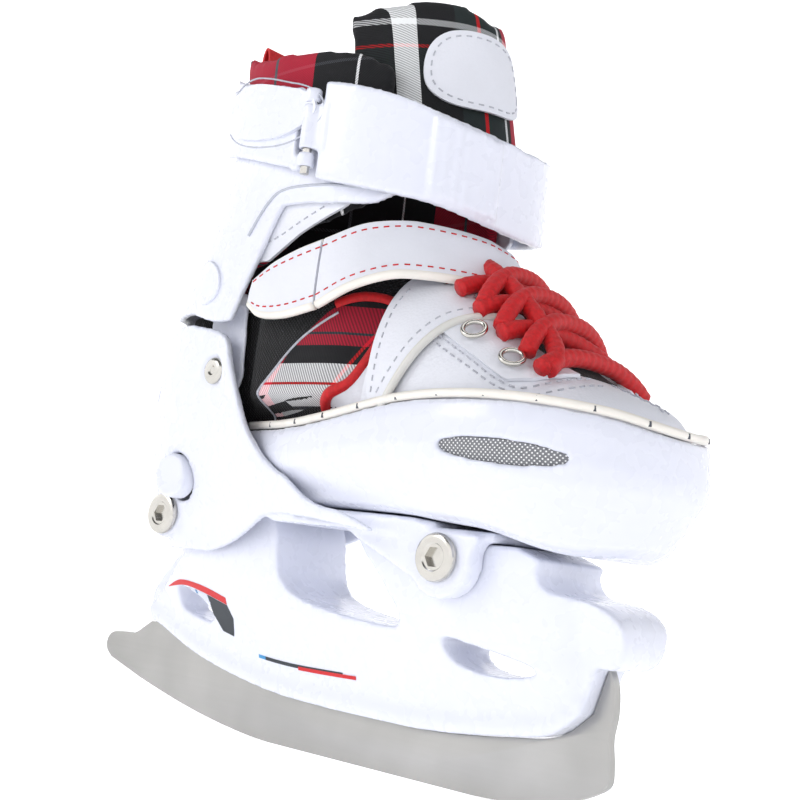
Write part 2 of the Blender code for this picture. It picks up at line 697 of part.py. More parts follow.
def make_cuff():
    """Back of the leg, with wings to the front and an arm down to each ankle rivet."""
    wall = u_wall(16, cuff_low, cuff_high, 0.0, CUFF_WALL, CUFF_FRONT, 7)
    pieces = []
    for side in (-1, 1):
        around = [(ANKLE[0] + 9 * math.cos(a), ANKLE[1] + 9 * math.sin(a))
                  for a in spread(math.radians(-5), math.radians(-175), 9)]
        arm = around + [(-53, 150), (-35, 150)]
        foot = [(-53, 147), (-35, 147), (-35, 152), (-53, 152)]
        pieces.append(prism(arm, *sorted((side * ARM_INNER, side * ARM_OUTER))))
        pieces.append(prism(foot, *sorted((side * ARM_INNER, side * 37.5))))
    bore = prism(disc_outline(ANKLE, RIVET_RADIUS + FIT), -60, 60)
    add_object("cuff", cut(joined(wall, *pieces), bore), "white_plastic", (ANKLE[0], 0, ANKLE[1]))


def make_ankle_rivets():
    for name, side in (("ankle_rivet_outer", -1), ("ankle_rivet_inner", 1)):
        outer = RIVET_SEAT + FIT
        inner = ARM_INNER - FIT
        profile = ((side * (inner - 1.6), RIVET_HEAD_RADIUS), (side * inner, RIVET_HEAD_RADIUS),
                   (side * inner, RIVET_RADIUS), (side * outer, RIVET_RADIUS),
                   (side * outer, RIVET_HEAD_RADIUS), (side * (outer + 1.4), RIVET_HEAD_RADIUS - 0.8))
        add_object(name, turned(ANKLE, profile, 16), "nickel")


def band_point(angle, depth=0.0):
    """A point of the strap's plan: 0 degrees is the front, 90 the outer side, and depth is inwards."""
    a = math.radians(angle)
    along = math.copysign(abs(math.cos(a)) ** 0.9, math.cos(a))
    across = math.copysign(abs(math.sin(a)) ** 0.92, math.sin(a))
    return BAND_CENTRE + (BAND_FRONT_REACH - depth) * along, -(BAND_HALF_WIDTH - depth) * across


def band_angle(x):
    """The angle at which the band passes x."""
    along = (x - BAND_CENTRE) / BAND_FRONT_REACH
    return math.degrees(math.acos(math.copysign(abs(along) ** (1 / 0.9), along)))


def band(angles, depth, thickness, trim=0.0):
    """A curved plate along the band, between its two edges."""
    rings = []
    for angle in angles:
        x, y = band_point(angle, depth)
        xi, yi = band_point(angle, depth + thickness)
        low, high = smooth(BAND_HEIGHTS, band_point(angle)[0])
        low, high = low + trim, high - trim
        rings.append([(x, y, low), (x, y, high), (xi, yi, high), (xi, yi, low)])
    return loft(rings)


def knuckle(pin, reach, low, high):
    """One knuckle of a vertical hinge, with the neck that ties it to a plate on its +X or -X side."""
    x, y = pin
    into = y - math.copysign(0.9, y)
    neck = prism([(x, low), (x + reach, low), (x + reach, high), (x, high)], into - 1.3, into + 1.3)
    return joined(upright(pin, KNUCKLE_RADIUS, low, high), neck)


def make_cuff_strap():
    """The front strap, its anchor pad on the outer side, and the pin that joins them."""
    low, high = smooth(BAND_HEIGHTS, PIN_X)
    pin = (PIN_X, PIN_Y)
    step = 4.0
    angle = band_angle(PIN_X)
    strap = joined(band(spread(angle - step, BUCKLE_END, 22), 0.0, BAND_THICKNESS),
                   knuckle(pin, 7, low + KNUCKLE_HEIGHT + FIT, high - KNUCKLE_HEIGHT - FIT))
    bore = upright(pin, PIN_RADIUS + FIT, low - 9, high + 9, 12)
    add_object("cuff_strap", cut(strap, bore), "white_plastic", (*pin, (low + high) / 2))
    anchor = joined(band(spread(angle + step, ANCHOR_BACK, 12), 0.0, BAND_THICKNESS, 2.0),
                    knuckle(pin, -7, low + 2.5, low + KNUCKLE_HEIGHT),
                    knuckle(pin, -7, high - KNUCKLE_HEIGHT, high - 2.5))
    add_object("strap_anchor", cut(anchor, bore), "white_plastic")
    add_object("strap_pin", upright(pin, PIN_RADIUS, low + 0.5, high - 3, 12), "nickel")


def make_buckle():
    """Base plate on the inner side, the lever that clamps the strap's end, and their pin."""
    x, y = BUCKLE_PIN
    low, high = smooth(BAND_HEIGHTS, x)
    low += 4
    high -= 4
    third = (high - low) / 3
    start, end = band_angle(BUCKLE_BASE_FRONT), band_angle(BUCKLE_BASE_BACK)
    base = band(spread(-start, -end, 10), 0.0, BAND_THICKNESS, 3.0)
    for bottom, top in ((low, low + third - FIT), (high - third + FIT, high)):
        base = joined(base, upright(BUCKLE_PIN, KNUCKLE_RADIUS, bottom, top),
                      upright((x, y - 2.6), 2.2, bottom, top, 12))
    bore = upright(BUCKLE_PIN, PIN_RADIUS + FIT, low - 9, high + 9, 12)
    add_object("buckle_base", cut(base, bore), "white_plastic")
    add_object("buckle_pin", upright(BUCKLE_PIN, PIN_RADIUS, low - 0.8, high + 0.8, 12), "nickel")
    rings = []
    for angle in spread(-band_angle(x + 4.5), -band_angle(LEVER_TIP), 9):
        outer_x, outer_y = band_point(angle, -LEVER_GAP - LEVER_THICKNESS)
        inner_x, inner_y = band_point(angle, -LEVER_GAP)
        bottom, top = smooth(BAND_HEIGHTS, outer_x)
        rings.append([(outer_x, outer_y, bottom + 6), (outer_x, outer_y, top - 6),
                      (inner_x, inner_y, top - 6), (inner_x, inner_y, bottom + 6)])
    hub = upright(BUCKLE_PIN, KNUCKLE_RADIUS, low + third + FIT, high - third - FIT)
    bottom, top = low + third + 1, high - third - 1
    neck = prism([(x, bottom), (x + 7, bottom), (x + 7, top), (x, top)], y - 1.0, y + 1.8)
    lever = cut(joined(loft(rings), hub, neck), bore)
    add_object("buckle_lever", lever, "grey_plastic", (x, y, (low + high) / 2))


# ---------------------------------------------------------------- liner and upper

def quarter_half(x):
    """Half width low in the shell, where the toe shell's rear and the toe upper have to slide past."""
    past_shell = smooth(TOE_HALF_WIDTHS, x - SIZE_TRAVEL) * 0.955 - TOE_WALL - SLIDE - FIT
    return min(past_shell, toe_half_width(VAMP_REAR, 0.955) - VAMP_INSET - VAMP_WALL - SLIDE)


def quarter_point(x, share, inset):
    """Half width and height of the liner's lower part: up the side, then leaning in over the instep."""
    floor = smooth(QUARTER_FLOOR, x) + inset
    top = smooth(QUARTER_TOP, x)
    z = floor + (top - floor) * share
    shoulder = smooth(TOE_TOPS, max(x, 0)) + 2 * PIPING_RADIUS + 2 * FIT
    low = quarter_half(max(x, TOE_REAR + SIZE_TRAVEL))
    high = smooth(QUARTER_UPPER, x)
    half = low + (high - low) * ease((z - shoulder) / 8)
    lean = smooth(QUARTER_LEAN, x) * max(0.0, (z - shoulder) / (top - shoulder)) ** 2.2
    sole_edge = SOLE_NARROWING * (1 - ease((z - floor) / SOLE_EDGE_HEIGHT))
    return half * (1 - lean) * (1 - sole_edge) - inset, z


def make_liner_quarter():
    """The soft boot round the foot, open at the front, where the toe upper covers it."""
    def columns(inset):
        rows = spread(0.0, 1.0, 8)
        found = []
        for t in spread(0.0, 1.0, 16):
            column = []
            for share in rows:
                if t < 0.4:
                    half, z = quarter_point(QUARTER_BACK_CENTRE, share, inset)
                    back = smooth(HEEL_STATIONS, z)[0] + HEEL_WALL + SLIDE + inset
                    angle = t / 0.4 * math.pi / 2
                    reach = (QUARTER_BACK_CENTRE - back) * math.cos(angle) ** 0.9
                    column.append((QUARTER_BACK_CENTRE - reach, -half * math.sin(angle) ** 0.92, z))
                else:
                    x = QUARTER_BACK_CENTRE + (QUARTER_FRONT - QUARTER_BACK_CENTRE) * (t - 0.4) / 0.6
                    half, z = quarter_point(x, share, inset)
                    column.append((x, -half, z))
            found.append(column)
        return found

    add_object("liner_quarter", u_shell(columns(0.0), columns(QUARTER_WALL), floor=True), "black_mesh")


def make_insole():
    rings = []
    for x in spread(-84, 44, 14):
        half = smooth(INSOLE_HALF_WIDTHS, x)
        z = smooth(QUARTER_FLOOR, x) + QUARTER_WALL + 3 * FIT
        top = z + INSOLE_THICKNESS
        rings.append([(x, -half, z), (x, half, z), (x, half, top), (x, -half, top)])
    add_object("insole", loft(rings), "foam")


def make_footboard():
    """The board under the heel that roofs the size lock, standing on three ribs."""
    top = smooth(QUARTER_FLOOR, -60) - FIT
    plate = loft([[(x, -w, top - 1.8), (x, w, top - 1.8), (x, w, top), (x, -w, top)]
                  for x, w in ((-87, 8), (-80, 16), (-60, 19.5), (-42, 19.5))])
    floor = REAR_FLOOR + FLOOR_THICKNESS + FIT
    ribs = [prism([(a, floor), (b, floor), (b, top - 1), (a, top - 1)], *sides)
            for a, b, sides in ((-84, -81, (-9, 9)), (-46, -43, (11, 18)), (-46, -43, (-18, -11)))]
    add_object("footboard", joined(plate, *ribs), "grey_plastic")


def make_liner_shaft():
    """The padded leg of the liner, inside the cuff."""
    def low(x):
        return smooth(SHAFT_BOTTOM, x)

    def high(x):
        return smooth(SHAFT_TOP, x)

    shaft = u_wall(16, low, high, CUFF_WALL + SLIDE, SHAFT_WALL, SHAFT_FRONT, 5)
    add_object("liner_shaft", shaft, "black_mesh", (ANKLE[0], 0, ANKLE[1]))


def tongue_column(angle, depth, low, high, rows):
    column = []
    for z in spread(low, high, rows):
        back = TONGUE_LEAN * max(0.0, z - 205)
        a = math.radians(angle)
        column.append((BAND_CENTRE + (TONGUE_REACH - depth) * math.cos(a) - back,
                       -(TONGUE_HALF_WIDTH - depth) * math.sin(a), z))
    return column


def make_tongue():
    def columns(depth):
        found = []
        for a in spread(0, TONGUE_SPAN, 9):
            low = TONGUE_LOW + 0.12 * a
            high = TONGUE_HIGH - 0.0035 * (a - TONGUE_CREST) ** 2 - depth * 0.2
            found.append(tongue_column(a, depth, low, high, 9))
        return found

    add_object("tongue", u_shell(columns(0.0), columns(TONGUE_WALL)), "plaid")
    rings = []
    for a in spread(-BADGE_SPAN, BADGE_SPAN, 9):
        outer = tongue_column(a, -FIT - 1.2, *BADGE_HEIGHTS, 5)
        inner = tongue_column(a, -FIT, *BADGE_HEIGHTS, 5)
        rings.append(outer + inner[::-1])
    add_object("tongue_badge", loft(rings), "leatherette")


def make_pull_tab():
    top = smooth(SHAFT_TOP, -80)
    back = smooth(HEEL_STATIONS, top)[0] + CUFF_WALL + SLIDE
    outline = ((-7, top + FIT), (7, top + FIT), (5.5, top + 7), (-5.5, top + 7))
    rings = [[(back + x, y, z) for y, z in outline] for x in (1.6, 4.2)]
    add_object("pull_tab", loft(rings), "red_cord", (back + 3, 0, top))


def toe_half_width(x, scale):
    """Half width of the toe shell's plan at x."""
    widest = smooth(TOE_HALF_WIDTHS, TOE_CURVE_START)
    if x <= TOE_CURVE_START:
        return smooth(TOE_HALF_WIDTHS, x) * scale
    reach = (TOE_FRONT - TOE_CURVE_START) * (1 - (1 - scale) * 0.5)
    share = min(((x - TOE_CURVE_START) / reach) ** (1 / 0.86), 0.999)
    return widest * scale * math.sin(math.acos(share)) ** 0.86


def vamp_arch(x, depth, low_angle=0.0, high_angle=180.0, count=15):
    """Points over the toe upper's arch at x, from the outer side to the inner side."""
    half = toe_half_width(x + VAMP_INSET, 0.955) - VAMP_INSET - depth
    crown = smooth(VAMP_CROWN, x) - depth
    base = VAMP_BASE
    points = []
    for angle in spread(low_angle, high_angle, count):
        a = math.radians(angle)
        c, s = math.cos(a), math.sin(a)
        points.append((x, -half * math.copysign(abs(c) ** 0.85, c), base + (crown - base) * s ** 0.9))
    return points


def make_vamp():
    stations = spread(VAMP_REAR, 112, 12) + [116.0, 118.2]
    rings = [vamp_arch(x, 0.0) + vamp_arch(x, VAMP_WALL)[::-1] for x in stations]
    add_object("toe_upper", loft(rings), "leatherette")
    for name, low, high in (("eyestay_outer", 28, 66), ("eyestay_inner", 114, 152)):
        rings = []
        for x in spread(EYESTAY_REAR, EYESTAY_FRONT, 8):
            outer = vamp_arch(x, -FIT - EYESTAY_THICKNESS, low, high, 6)
            inner = vamp_arch(x, -FIT, low, high, 6)
            rings.append(outer + inner[::-1])
        add_object(name, loft(rings), "leatherette")


def ring_mesh(centre, axis, radius, wire, segments=14, sides=6):
    """A round wire ring about an axis."""
    axis = Vector(axis).normalized()
    u = axis.orthogonal().normalized()
    v = axis.cross(u)
    points = []
    for k in range(segments):
        a = math.tau * k / segments
        out = u * math.cos(a) + v * math.sin(a)
        for m in range(sides):
            b = math.tau * m / sides
            points.append(Vector(centre) + out * (radius + wire * math.cos(b)) + axis * wire * math.sin(b))
    faces = []
    for k in range(segments):
        for m in range(sides):
            a, b = k * sides + m, k * sides + (m + 1) % sides
            c, d = ((k + 1) % segments) * sides + (m + 1) % sides, ((k + 1) % segments) * sides + m
            faces.append((a, b, c, d))
    return mesh_of(points, faces)


def over_vamp(x, angle, lift):
    """A point this far off the eyestay's outer face, and the direction out of it."""
    depth = -FIT - EYESTAY_THICKNESS

    def at(place, turn):
        return Vector(vamp_arch(place, depth, turn, turn + 1, 2)[0])

    along = at(x + 2, angle) - at(x - 2, angle)
    around = at(x, angle + 2) - at(x, angle - 2)
    out = around.cross(along).normalized()
    if out.z < 0:
        out.negate()
    return at(x, angle) + out * lift, out


def tube(name, points, radius, kind, resolution=2):
    """A cord or binding along points in mm."""
    curve = bpy.data.curves.new(name, "CURVE")
    curve.dimensions = "3D"
    curve.bevel_depth = radius * MM
    curve.bevel_resolution = resolution
    curve.use_fill_caps = True
    line = curve.splines.new("POLY")
    line.points.add(len(points) - 1)
    for point, place in zip(line.points, points):
        point.co = (*(Vector(place) * MM), 1.0)
    curve.materials.append(material(kind))
    made = bpy.data.objects.new(name, curve)
    bpy.context.scene.collection.objects.link(made)
    return made


def make_lacing():
    """Four eyelets, and the lace that runs from side to side between them and under the strap."""
    for row, x in enumerate(EYELET_ROWS):
        for name, angle in (("outer", EYELET_ANGLE), ("inner", 180 - EYELET_ANGLE)):
            centre, axis = over_vamp(x, angle, 2 * FIT + EYELET_WIRE)
            ring = ring_mesh(centre, axis, EYELET_RADIUS, EYELET_WIRE)
            add_object(f"eyelet_{name}_{row + 1}", ring, "nickel")
    height = 4 * FIT + 2 * EYELET_WIRE + LACE_RADIUS
    route = []
    for row, x in enumerate(LACE_ROWS):
        across = spread(EYELET_ANGLE, 180 - EYELET_ANGLE, 9)
        if row % 2:
            across = across[::-1]
        route += [over_vamp(x, a, height)[0] for a in across]
    tube("lace", route, LACE_RADIUS, "red_cord", 1)


def make_piping():
    """The binding along the toe shell's edge."""
    points = []
    for t in spread(-0.97, 0.97, 41):
        x, y = toe_plan(abs(t), 0.955, TOE_WALL / 2)
        z = smooth(TOE_TOPS, x) + FIT + PIPING_RADIUS
        points.append((x, y if t < 0 else -y, z))
    tube("toe_piping", points, PIPING_RADIUS, "cream_trim", 1)


def make_power_strap():
    """The instep strap from the inner side to its fold, and the outer end that peels open."""
    over = (
        ((8.0, -38.7, 155), (-0.1, 0.12, 1), 22), ((22, -36, 160.5), (-0.15, 0.3, 1), 22),
        ((35, -28.5, 163.5), (-0.25, 0.5, 1), 21.5), ((45, -17, 163.4), (-0.4, 0.4, 1), 20),
        ((51, -3, 162.8), (-0.6, 0.05, 1), 19.5), ((51, 11, 161.5), (-0.6, -0.3, 1), 19.5),
        ((43, 24, 158), (-0.4, -0.5, 1), 20), ((29, 33.5, 153), (-0.2, -0.4, 1), 20.5),
        ((14, 37.9, 147), (-0.1, -0.2, 1), 20),
    )
    add_object("power_strap", ribbon(over, STRAP_THICKNESS), "leatherette")
    tab = (
        ((7.2, -38.9, 154.7), (-0.1, 0.12, 1), 22), ((-4, -39.9, 152), (0.1, 0.05, 1), 21),
        ((-15, -39.8, 150.5), (0.25, 0.0, 1), 17), ((-23.5, -38.8, 150), (0.3, -0.1, 1), 8),
    )
    add_object("power_strap_tab", ribbon(tab, STRAP_THICKNESS), "leatherette", STRAP_FOLD)


# ---------------------------------------------------------------- scene

def main():
    for item in list(bpy.data.objects):
        bpy.data.objects.remove(item)
    make_blade()
    make_blade_holder()
    make_heel_shell()
    make_toe_shell()
    make_toe_vents()
    make_bolts()
    make_size_lock()
    make_cuff()
    make_ankle_rivets()
    make_cuff_strap()
    make_buckle()
    make_footboard()
    make_liner_quarter()
    make_insole()
    make_liner_shaft()
    make_tongue()
    make_pull_tab()
    make_vamp()
    make_piping()
    make_lacing()
    make_power_strap()


main()
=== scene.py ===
"""Looks of a child's size-adjustable ice skate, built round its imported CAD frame.

Shape values are in millimetres in the frame's own axes: +X to the toe, +Y to the wearer's left, +Z up.
They are turned to metres when a mesh is made. The skate is for the right foot, so its outer side faces -Y.
"""

import json
import math

import bmesh
import bpy
from mathutils import Matrix, Vector


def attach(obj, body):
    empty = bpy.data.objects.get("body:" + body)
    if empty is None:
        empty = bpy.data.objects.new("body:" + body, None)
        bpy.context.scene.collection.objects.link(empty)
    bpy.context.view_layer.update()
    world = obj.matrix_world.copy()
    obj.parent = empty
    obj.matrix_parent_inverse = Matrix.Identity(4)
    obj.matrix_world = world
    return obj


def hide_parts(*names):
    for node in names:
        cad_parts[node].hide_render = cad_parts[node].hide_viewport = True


bl_info = {
    "name": "Adjustable ice skate",
    "version": (1, 0, 0),
    "blender": (4, 5, 0),
    "location": "3D View > Sidebar > Skate",
    "description": "Builds the shells, soft boot, straps and blade of a child's adjustable ice skate",
    "category": "Add Mesh",
}

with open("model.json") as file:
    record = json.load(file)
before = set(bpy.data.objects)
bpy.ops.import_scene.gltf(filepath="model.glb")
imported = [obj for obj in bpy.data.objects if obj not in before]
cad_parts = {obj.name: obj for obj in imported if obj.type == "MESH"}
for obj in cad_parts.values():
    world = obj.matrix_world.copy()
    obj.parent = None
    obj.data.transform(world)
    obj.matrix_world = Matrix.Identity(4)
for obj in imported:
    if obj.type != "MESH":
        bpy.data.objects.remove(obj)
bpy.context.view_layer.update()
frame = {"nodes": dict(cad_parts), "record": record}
NODES = frame["nodes"]
BODY_OF = {node: body for body, nodes in frame["record"]["behaviour"]["bodies"].items() for node in nodes}

MM = 0.001

# Clearances
FIT = 0.3                     # between pieces that touch
SLIDE = 0.7                   # between pieces that slide past each other

# Blade and holder
BLADE_THICKNESS = 3.0
SOLE_HALF_WIDTH = 5.2         # of the holder where it grips the blade
TOWER_HALF_WIDTH = 17.5
NOSE_SWELL = 2.5
REAR_TOWER_TOP = 79.4
FRONT_TOWER_TOP = 74.6
BLADE_EDGE = ((-93, 34), (-68, 25), (-39, 19), (-14, 16.5), (32, 16), (48, 16.5), (71, 19), (92, 23),
              (102, 31))

# Through bolts that clamp the shell to the holder's towers
BOLT_HEAD_RADIUS = 7.3
BOLT_HEAD_HEIGHT = 2.4
BOLT_RADIUS = 3.0
BOLT_HOLE_RADIUS = BOLT_RADIUS + 0.3
FRONT_BOLT = (57.9, 69.0)
FRONT_BOLT_SEAT = 24.8
REAR_BOLT = (-73.0, 74.0)
REAR_BOLT_SEAT = 23.6
LUG_RADIUS = 12.0

# Heel shell: stations are height, back, centre of the side walls, half width
HEEL_WALL = 3.0
HEEL_STATIONS = (
    (60, -85, -56, 21.0), (74, -91, -55, 24.0), (90, -97, -52, 29.5), (105, -99, -48, 33.0),
    (124, -97, -42, 36.0), (142, -91, -36, 38.0), (165, -79.5, -24, 40.2), (185, -72.5, -14, 41.0),
    (212, -69.5, -10, 41.0), (238, -74, -10, 41.5), (256, -79, -10, 42.0),
)
MIDFOOT_FLARE = 5.5           # how much wider the shell is at the midfoot than at the heel
BAND_FLARE = 3.5              # and how much wider again in front of the column
FLARE_START = -50.0
FLARE_LENGTH = 40.0
HEEL_RIM = ((-100, 62), (-52, 62.5), (-38, 66), (-26, 71), (-12, 77.3), (11, 76.8), (36, 74.3))
HEEL_TOP = (
    (-100, 141), (-60, 141), (-50, 139.5), (-42, 138), (-34, 134), (-30, 124), (-23, 108), (-16, 99),
    (-8, 92.4), (-1, 89.5), (12, 82), (24, 79.8), (36, 75.8),
)
BAND_END = 36.0               # front end of the swept band under the toe shell
REAR_FLOOR = 79.8
FRONT_FLOOR = 75.0
FLOOR_THICKNESS = 3.0

# Toe shell, and the travel that sets the skate's size
TOE_WALL = 2.5
TOE_FRONT = 125.0
TOE_REAR = -36.0
SIZE_TRAVEL = 20.0
TOE_CURVE_START = 62.0        # where the side walls begin to close in round the toes
TOE_HALF_WIDTHS = ((-36, 27.3), (-22, 30.5), (-12, 33.3), (0, 36.4), (14, 40.0), (35, 42.4), (62, 44.0))
TOE_TOPS = ((-36, 105), (-12, 105), (14, 107), (50, 113), (82, 114), (112, 111.5), (125, 108))
TOE_BOTTOMS = ((-36, 84), (-14, 84), (-4, 81.3), (43, 81), (60, 79.6), (75, 78.4), (100, 73.6), (125, 77))

# Size lock
BUTTON = (-63.0, 87.5)
BUTTON_RADIUS = 7.8
BUTTON_FACE = 32.3
BUTTON_STEM_RADIUS = 3.5
BUTTON_HEAD_DEPTH = 6.0
BUTTON_STEM_TIP = -12.9

# Cuff and its hinge at the ankle
ANKLE = (-42.0, 124.0)
RIVET_RADIUS = 3.0
RIVET_HEAD_RADIUS = 4.6
RIVET_SEAT = 35.2             # depth of the round recess the rivet's head lies in
CUFF_WALL = 2.6
ARM_INNER = 29.0              # the cuff's arms, which reach down inside the shell to the rivets
ARM_OUTER = 30.8
CUFF_BOTTOM = ((-100, 145), (-60, 144.6), (-50, 142.2), (-42, 140.6), (-33, 140.6), (-31, 150), (-28, 162),
               (-22, 174), (-14, 178.5), (8, 178), (22, 177.5), (29, 181))
CUFF_TOP = ((-100, 241), (-70, 238), (-45, 228), (-12, 219), (8, 209), (29, 200))
CUFF_FRONT = 29.0

# Cuff strap, its pin, and the buckle on the inner side
BAND_CENTRE = -9.0
BAND_FRONT_REACH = 64.6
BAND_HALF_WIDTH = 45.2
BAND_THICKNESS = 3.2
BAND_HEIGHTS = ((-80, 200, 238), (-52, 199, 228), (-12, 189, 220), (10, 184, 217), (30, 180, 212),
                (45, 177, 206), (57, 172, 201))
PIN_X = 0.0
PIN_Y = -44.3
PIN_RADIUS = 1.5
KNUCKLE_RADIUS = 2.9
KNUCKLE_HEIGHT = 8.0
ANCHOR_BACK = 128.0           # degrees round from the front
BUCKLE_END = -70.0            # where the strap ends, in degrees to the inner side

# Soft parts
QUARTER_WALL = 2.2
QUARTER_BACK_CENTRE = -50.0
QUARTER_FRONT = 52.0
SOLE_NARROWING = 0.3          # share of the width that the rounded edge of the sole takes away
SOLE_EDGE_HEIGHT = 13.0
QUARTER_FLOOR = ((-95, 95.7), (-38, 95.7), (-20, 88), (60, 88))
QUARTER_TOP = ((-95, 146), (-40, 146), (-20, 150), (0, 155), (16, 158), (30, 155), (52, 143))
QUARTER_UPPER = ((-50, 26.4), (-31.5, 26.8), (-25, 33), (-16, 35.6), (0, 36.4), (14, 35.4), (22, 32.5),
                 (28, 31), (52, 28))
QUARTER_LEAN = ((-50, 0.0), (-30, 0.02), (0, 0.12), (16, 0.25), (30, 0.5), (45, 0.8), (52, 0.85))
INSOLE_THICKNESS = 2.4
INSOLE_HALF_WIDTHS = ((-84, 4), (-76, 8), (-60, 12), (-38, 12), (-16, 11.5), (10, 15.5), (44, 18))
SHAFT_BOTTOM = ((-100, 153.5), (-30, 159), (-10, 168), (8, 174.5), (22, 180))
SHAFT_TOP = ((-100, 250), (-70, 248), (-45, 239), (-12, 234), (8, 231), (22, 225))
SHAFT_FRONT = 22.0
TONGUE_LOW = 184.0
TONGUE_HIGH = 254.0
TONGUE_LEAN = 0.24
TONGUE_CREST = 34.0           # degrees to each side where the top edge is highest
TONGUE_REACH = 56.0
TONGUE_HALF_WIDTH = 31.0
TONGUE_SPAN = 74.0
VAMP_WALL = 2.0
VAMP_INSET = 3.4              # from the toe shell's edge, past its wall and binding
VAMP_REAR = 30.0
VAMP_BASE = 104.0
VAMP_CROWN = ((30, 162), (45, 157), (58, 150), (70, 142), (80, 133.5), (90, 127.5), (106, 121),
              (114, 117.5), (120, 112))
PIPING_RADIUS = 1.3
EYELET_WIRE = 0.8
EYESTAY_THICKNESS = 1.3
EYELET_ROWS = (66.0, 80.0)
EYELET_ANGLE = 46.0
SHAFT_WALL = 6.0
TONGUE_WALL = 6.0
STRAP_THICKNESS = 2.4
EYELET_RADIUS = 3.4


# ---------------------------------------------------------------- shapes shared with the CAD parts

def smooth(stations, at):
    """Every value of the stations at this place, on a smooth curve through them (Catmull-Rom)."""
    last = len(stations) - 1
    at = min(max(at, stations[0][0]), stations[last][0])
    k = 0
    while k < last - 1 and at > stations[k + 1][0]:
        k += 1
    a, b = stations[k], stations[k + 1]
    before, after = stations[max(k - 1, 0)], stations[min(k + 2, last)]
    span = b[0] - a[0]
    t = (at - a[0]) / span
    values = []
    for c in range(1, len(a)):
        slope_a = (b[c] - before[c]) / (b[0] - before[0]) * span
        slope_b = (after[c] - a[c]) / (after[0] - a[0]) * span
        steep = 3.0 * abs(b[c] - a[c])
        slope_a = max(-steep, min(steep, slope_a))
        slope_b = max(-steep, min(steep, slope_b))
        values.append(
            (2 * t**3 - 3 * t**2 + 1) * a[c] + (t**3 - 2 * t**2 + t) * slope_a
            + (3 * t**2 - 2 * t**3) * b[c] + (t**3 - t**2) * slope_b
        )
    return values if len(values) > 1 else values[0]


def ease(t):
    """0 to 1 with a flat start and end."""
    t = min(max(t, 0.0), 1.0)
    return t * t * (3.0 - 2.0 * t)


def spread(start, end, count):
    """This many values from start to end, both included."""
    return [start + (end - start) * k / (count - 1) for k in range(count)]


def mesh_of(points, faces):
    """A closed mesh from points in mm, with its normals outwards."""
    bm = bmesh.new()
    corners = [bm.verts.new(Vector(p) * MM) for p in points]
    for face in faces:
        bm.faces.new([corners[i] for i in face])
    bmesh.ops.remove_doubles(bm, verts=bm.verts, dist=1e-6)
    bmesh.ops.recalc_face_normals(bm, faces=bm.faces)
    mesh = bpy.data.meshes.new("mesh")
    bm.to_mesh(mesh)
    bm.free()
    return mesh


def combined(base, tools, operation):
    """The mesh after an exact Boolean of the base with each tool mesh in turn."""
    for tool in tools:
        holder = bpy.data.objects.new("base", base)
        cutter = bpy.data.objects.new("tool", tool)
        for item in (holder, cutter):
            bpy.context.scene.collection.objects.link(item)
        step = holder.modifiers.new("combine", "BOOLEAN")
        step.operation = operation
        step.solver = "EXACT"
        step.object = cutter
        bpy.context.view_layer.update()
        seen = holder.evaluated_get(bpy.context.evaluated_depsgraph_get())
        base = bpy.data.meshes.new_from_object(seen)
        bpy.data.objects.remove(holder)
        bpy.data.objects.remove(cutter)
    base.materials.clear()
    return base


def cut(base, *tools):
    return combined(base, tools, "DIFFERENCE")


def joined(base, *tools):
    return combined(base, tools, "UNION")


def prism(outline, y_low, y_high):
    """An outline in X and Z, extruded along Y."""
    count = len(outline)
    points = [(x, y, z) for y in (y_low, y_high) for x, z in outline]
    faces = [tuple(range(count)), tuple(range(2 * count - 1, count - 1, -1))]
    faces += [(i, (i + 1) % count, count + (i + 1) % count, count + i) for i in range(count)]
    return mesh_of(points, faces)


def disc_outline(centre, radius, segments=24):
    return [
        (centre[0] + radius * math.cos(math.tau * k / segments),
         centre[1] + radius * math.sin(math.tau * k / segments))
        for k in range(segments)
    ]


def turned(centre, profile, segments=24):
    """A solid turned about an axis along Y: profile points are distance along Y and radius."""
    x, z = centre
    rings = [
        [(x + r * math.cos(math.tau * k / segments), y, z + r * math.sin(math.tau * k / segments))
         for k in range(segments)]
        for y, r in profile
    ]
    return loft(rings)


def loft(rings):
    """A closed solid through rings with equal counts of points, capped at both ends."""
    count = len(rings[0])
    points = [p for ring in rings for p in ring]
    faces = [tuple(range(count)), tuple(range(len(points) - 1, len(points) - 1 - count, -1))]
    for r in range(len(rings) - 1):
        for k in range(count):
            a = r * count + k
            b = r * count + (k + 1) % count
            faces.append((a, b, b + count, a + count))
    return mesh_of(points, faces)


